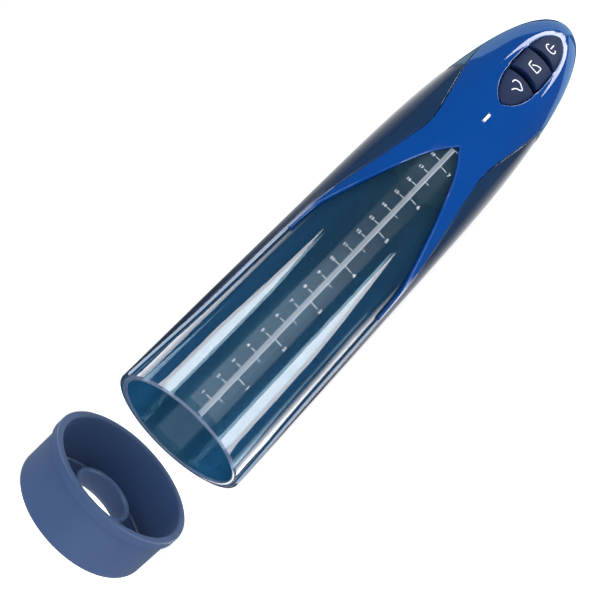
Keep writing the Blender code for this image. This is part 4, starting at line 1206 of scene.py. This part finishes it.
def make_studio():
    make_floor()
    make_world()
    make_key_light()
    on_body = {"radius_of": body_radius}
    on_nose = {"radius_of": body_radius, "tint": NOSE_TINT}
    softbox("upper_strip", 11, [
        (-45, 29, 41, 1, 1), (40, 29, 40, 1, 1), (70, 29.5, 37, 1, 1), (109, 34, 34.6, 0.8, 0.8)])
    softbox("lower_strip", 11, [(-45, -23, -37.5, 1, 1), (60, -23, -35, 1, 1), (127, -23, -23.6, 1, 1)])
    softbox("upper_edge", 8, [
        (-45, 57, 67, 0.7, 1), (60, 57, 66, 0.5, 1), (85, 56, 66, 0.2, 0.9), (122, 54, 64, 0, 0.3)])
    softbox("lower_edge", 11, [
        (-45, -50, -65, 0, 1), (60, -50, -65, 0, 1), (85, -48, -64, 0, 1), (130, -50, -60, 0, 0.2)])
    softbox("upper_side", 0.9, [
        (-20, 74, 96, 0, 0.15), (60, 72, 96, 0, 0.2), (110, 64, 96, 0, 0.7), (180, 52, 96, 0, 1.2),
        (240, 56, 96, 0, 2.2)], distance=1.0, **on_body)
    softbox("lower_side", 1.3, [
        (-20, -66, -90, 0, 0.15), (60, -64, -90, 0, 0.3), (110, -58, -90, 0, 0.9),
        (180, -48, -90, 0, 1.2), (246, -54, -86, 0, 2.4)], distance=1.0, **on_body)
    softbox("front_panel", 1.1, [
        (-12, -12, 16, 1, 1), (90, -12, 16, 1, 1), (125, -12, 16, 0.55, 0.55),
        (150, -13, 17, 0.3, 0.3), (175, -13, 17, 0.4, 0.6), (191, -8, 12, 0, 0)])
    softbox("nose_upper", 1.0, [
        (244, 60, 84, 1, 0.2), (252, 50, 82, 1, 0.2), (262, 45, 80, 1, 0.2), (277, 41, 78, 1, 0.25),
        (288, 31, 72, 1, 0.35), (296, 17, 62, 1, 0.5), (304, -4, 48, 1, 0.7), (312, -34, 30, 1, 0.8),
        (316, -60, 10, 1, 0.8)], **on_nose)
    softbox("nose_lower", 1.3, [
        (250, -59, -68, 0.5, 1), (261, -52, -72, 0.5, 0.5), (272, -47, -70, 0.6, 0.5),
        (283, -37, -68, 0.8, 0.5), (292, -28, -62, 0.9, 0.6), (300, -16, -50, 1, 0.7),
        (308, -8, -36, 1, 0.8)], **on_nose)
    rim_light("rim_panel", 9)
    dish_light("dish_panel", 9)


# ---- assembly
def main():
    make_camera()
    blue = gloss_blue()
    clear = thin_clear("smoke_clear_wall", (0.80, 0.91, 0.96), (0.50, 0.72, 0.84), 0.03, 0.06,
                       (0.05, 0.20, 0.34))
    # the rim keeps the clear tint; its heavier, paler haze is painted light, standing in for the glow and
    # highlight of the clear wall's cut edge
    rim = thin_clear("smoke_clear_rim_painted_glow", (0.80, 0.86, 0.92), (0.45, 0.55, 0.66), 0.05, 0.30,
                     (0.30, 0.36, 0.50))
    navy = soft_navy()
    icon_white = white_print("icon_white_print", (0.82, 0.86, 0.95), 1.0)
    scale_white = white_print("scale_white_print", (0.52, 0.58, 0.66), 0.9)
    make_tube(clear, rim)
    make_casing(smoke_casing(), casing_lining(), casing_edge())
    make_cover(blue)
    for name in BUTTONS:
        make_button(name, navy)
    for name in ICONS:
        make_icon(name, icon_white)
    inner = inner_materials()
    make_light_pipe(inner["white_lens"])
    make_scale(scale_white)
    make_sleeve(silicone())
    dress_cad_nodes(inner)
    make_studio()
    scene = bpy.context.scene
    scene.view_settings.view_transform = "Standard"
    scene.cycles.use_denoising = True
    scene.cycles.transparent_max_bounces = 16


main()
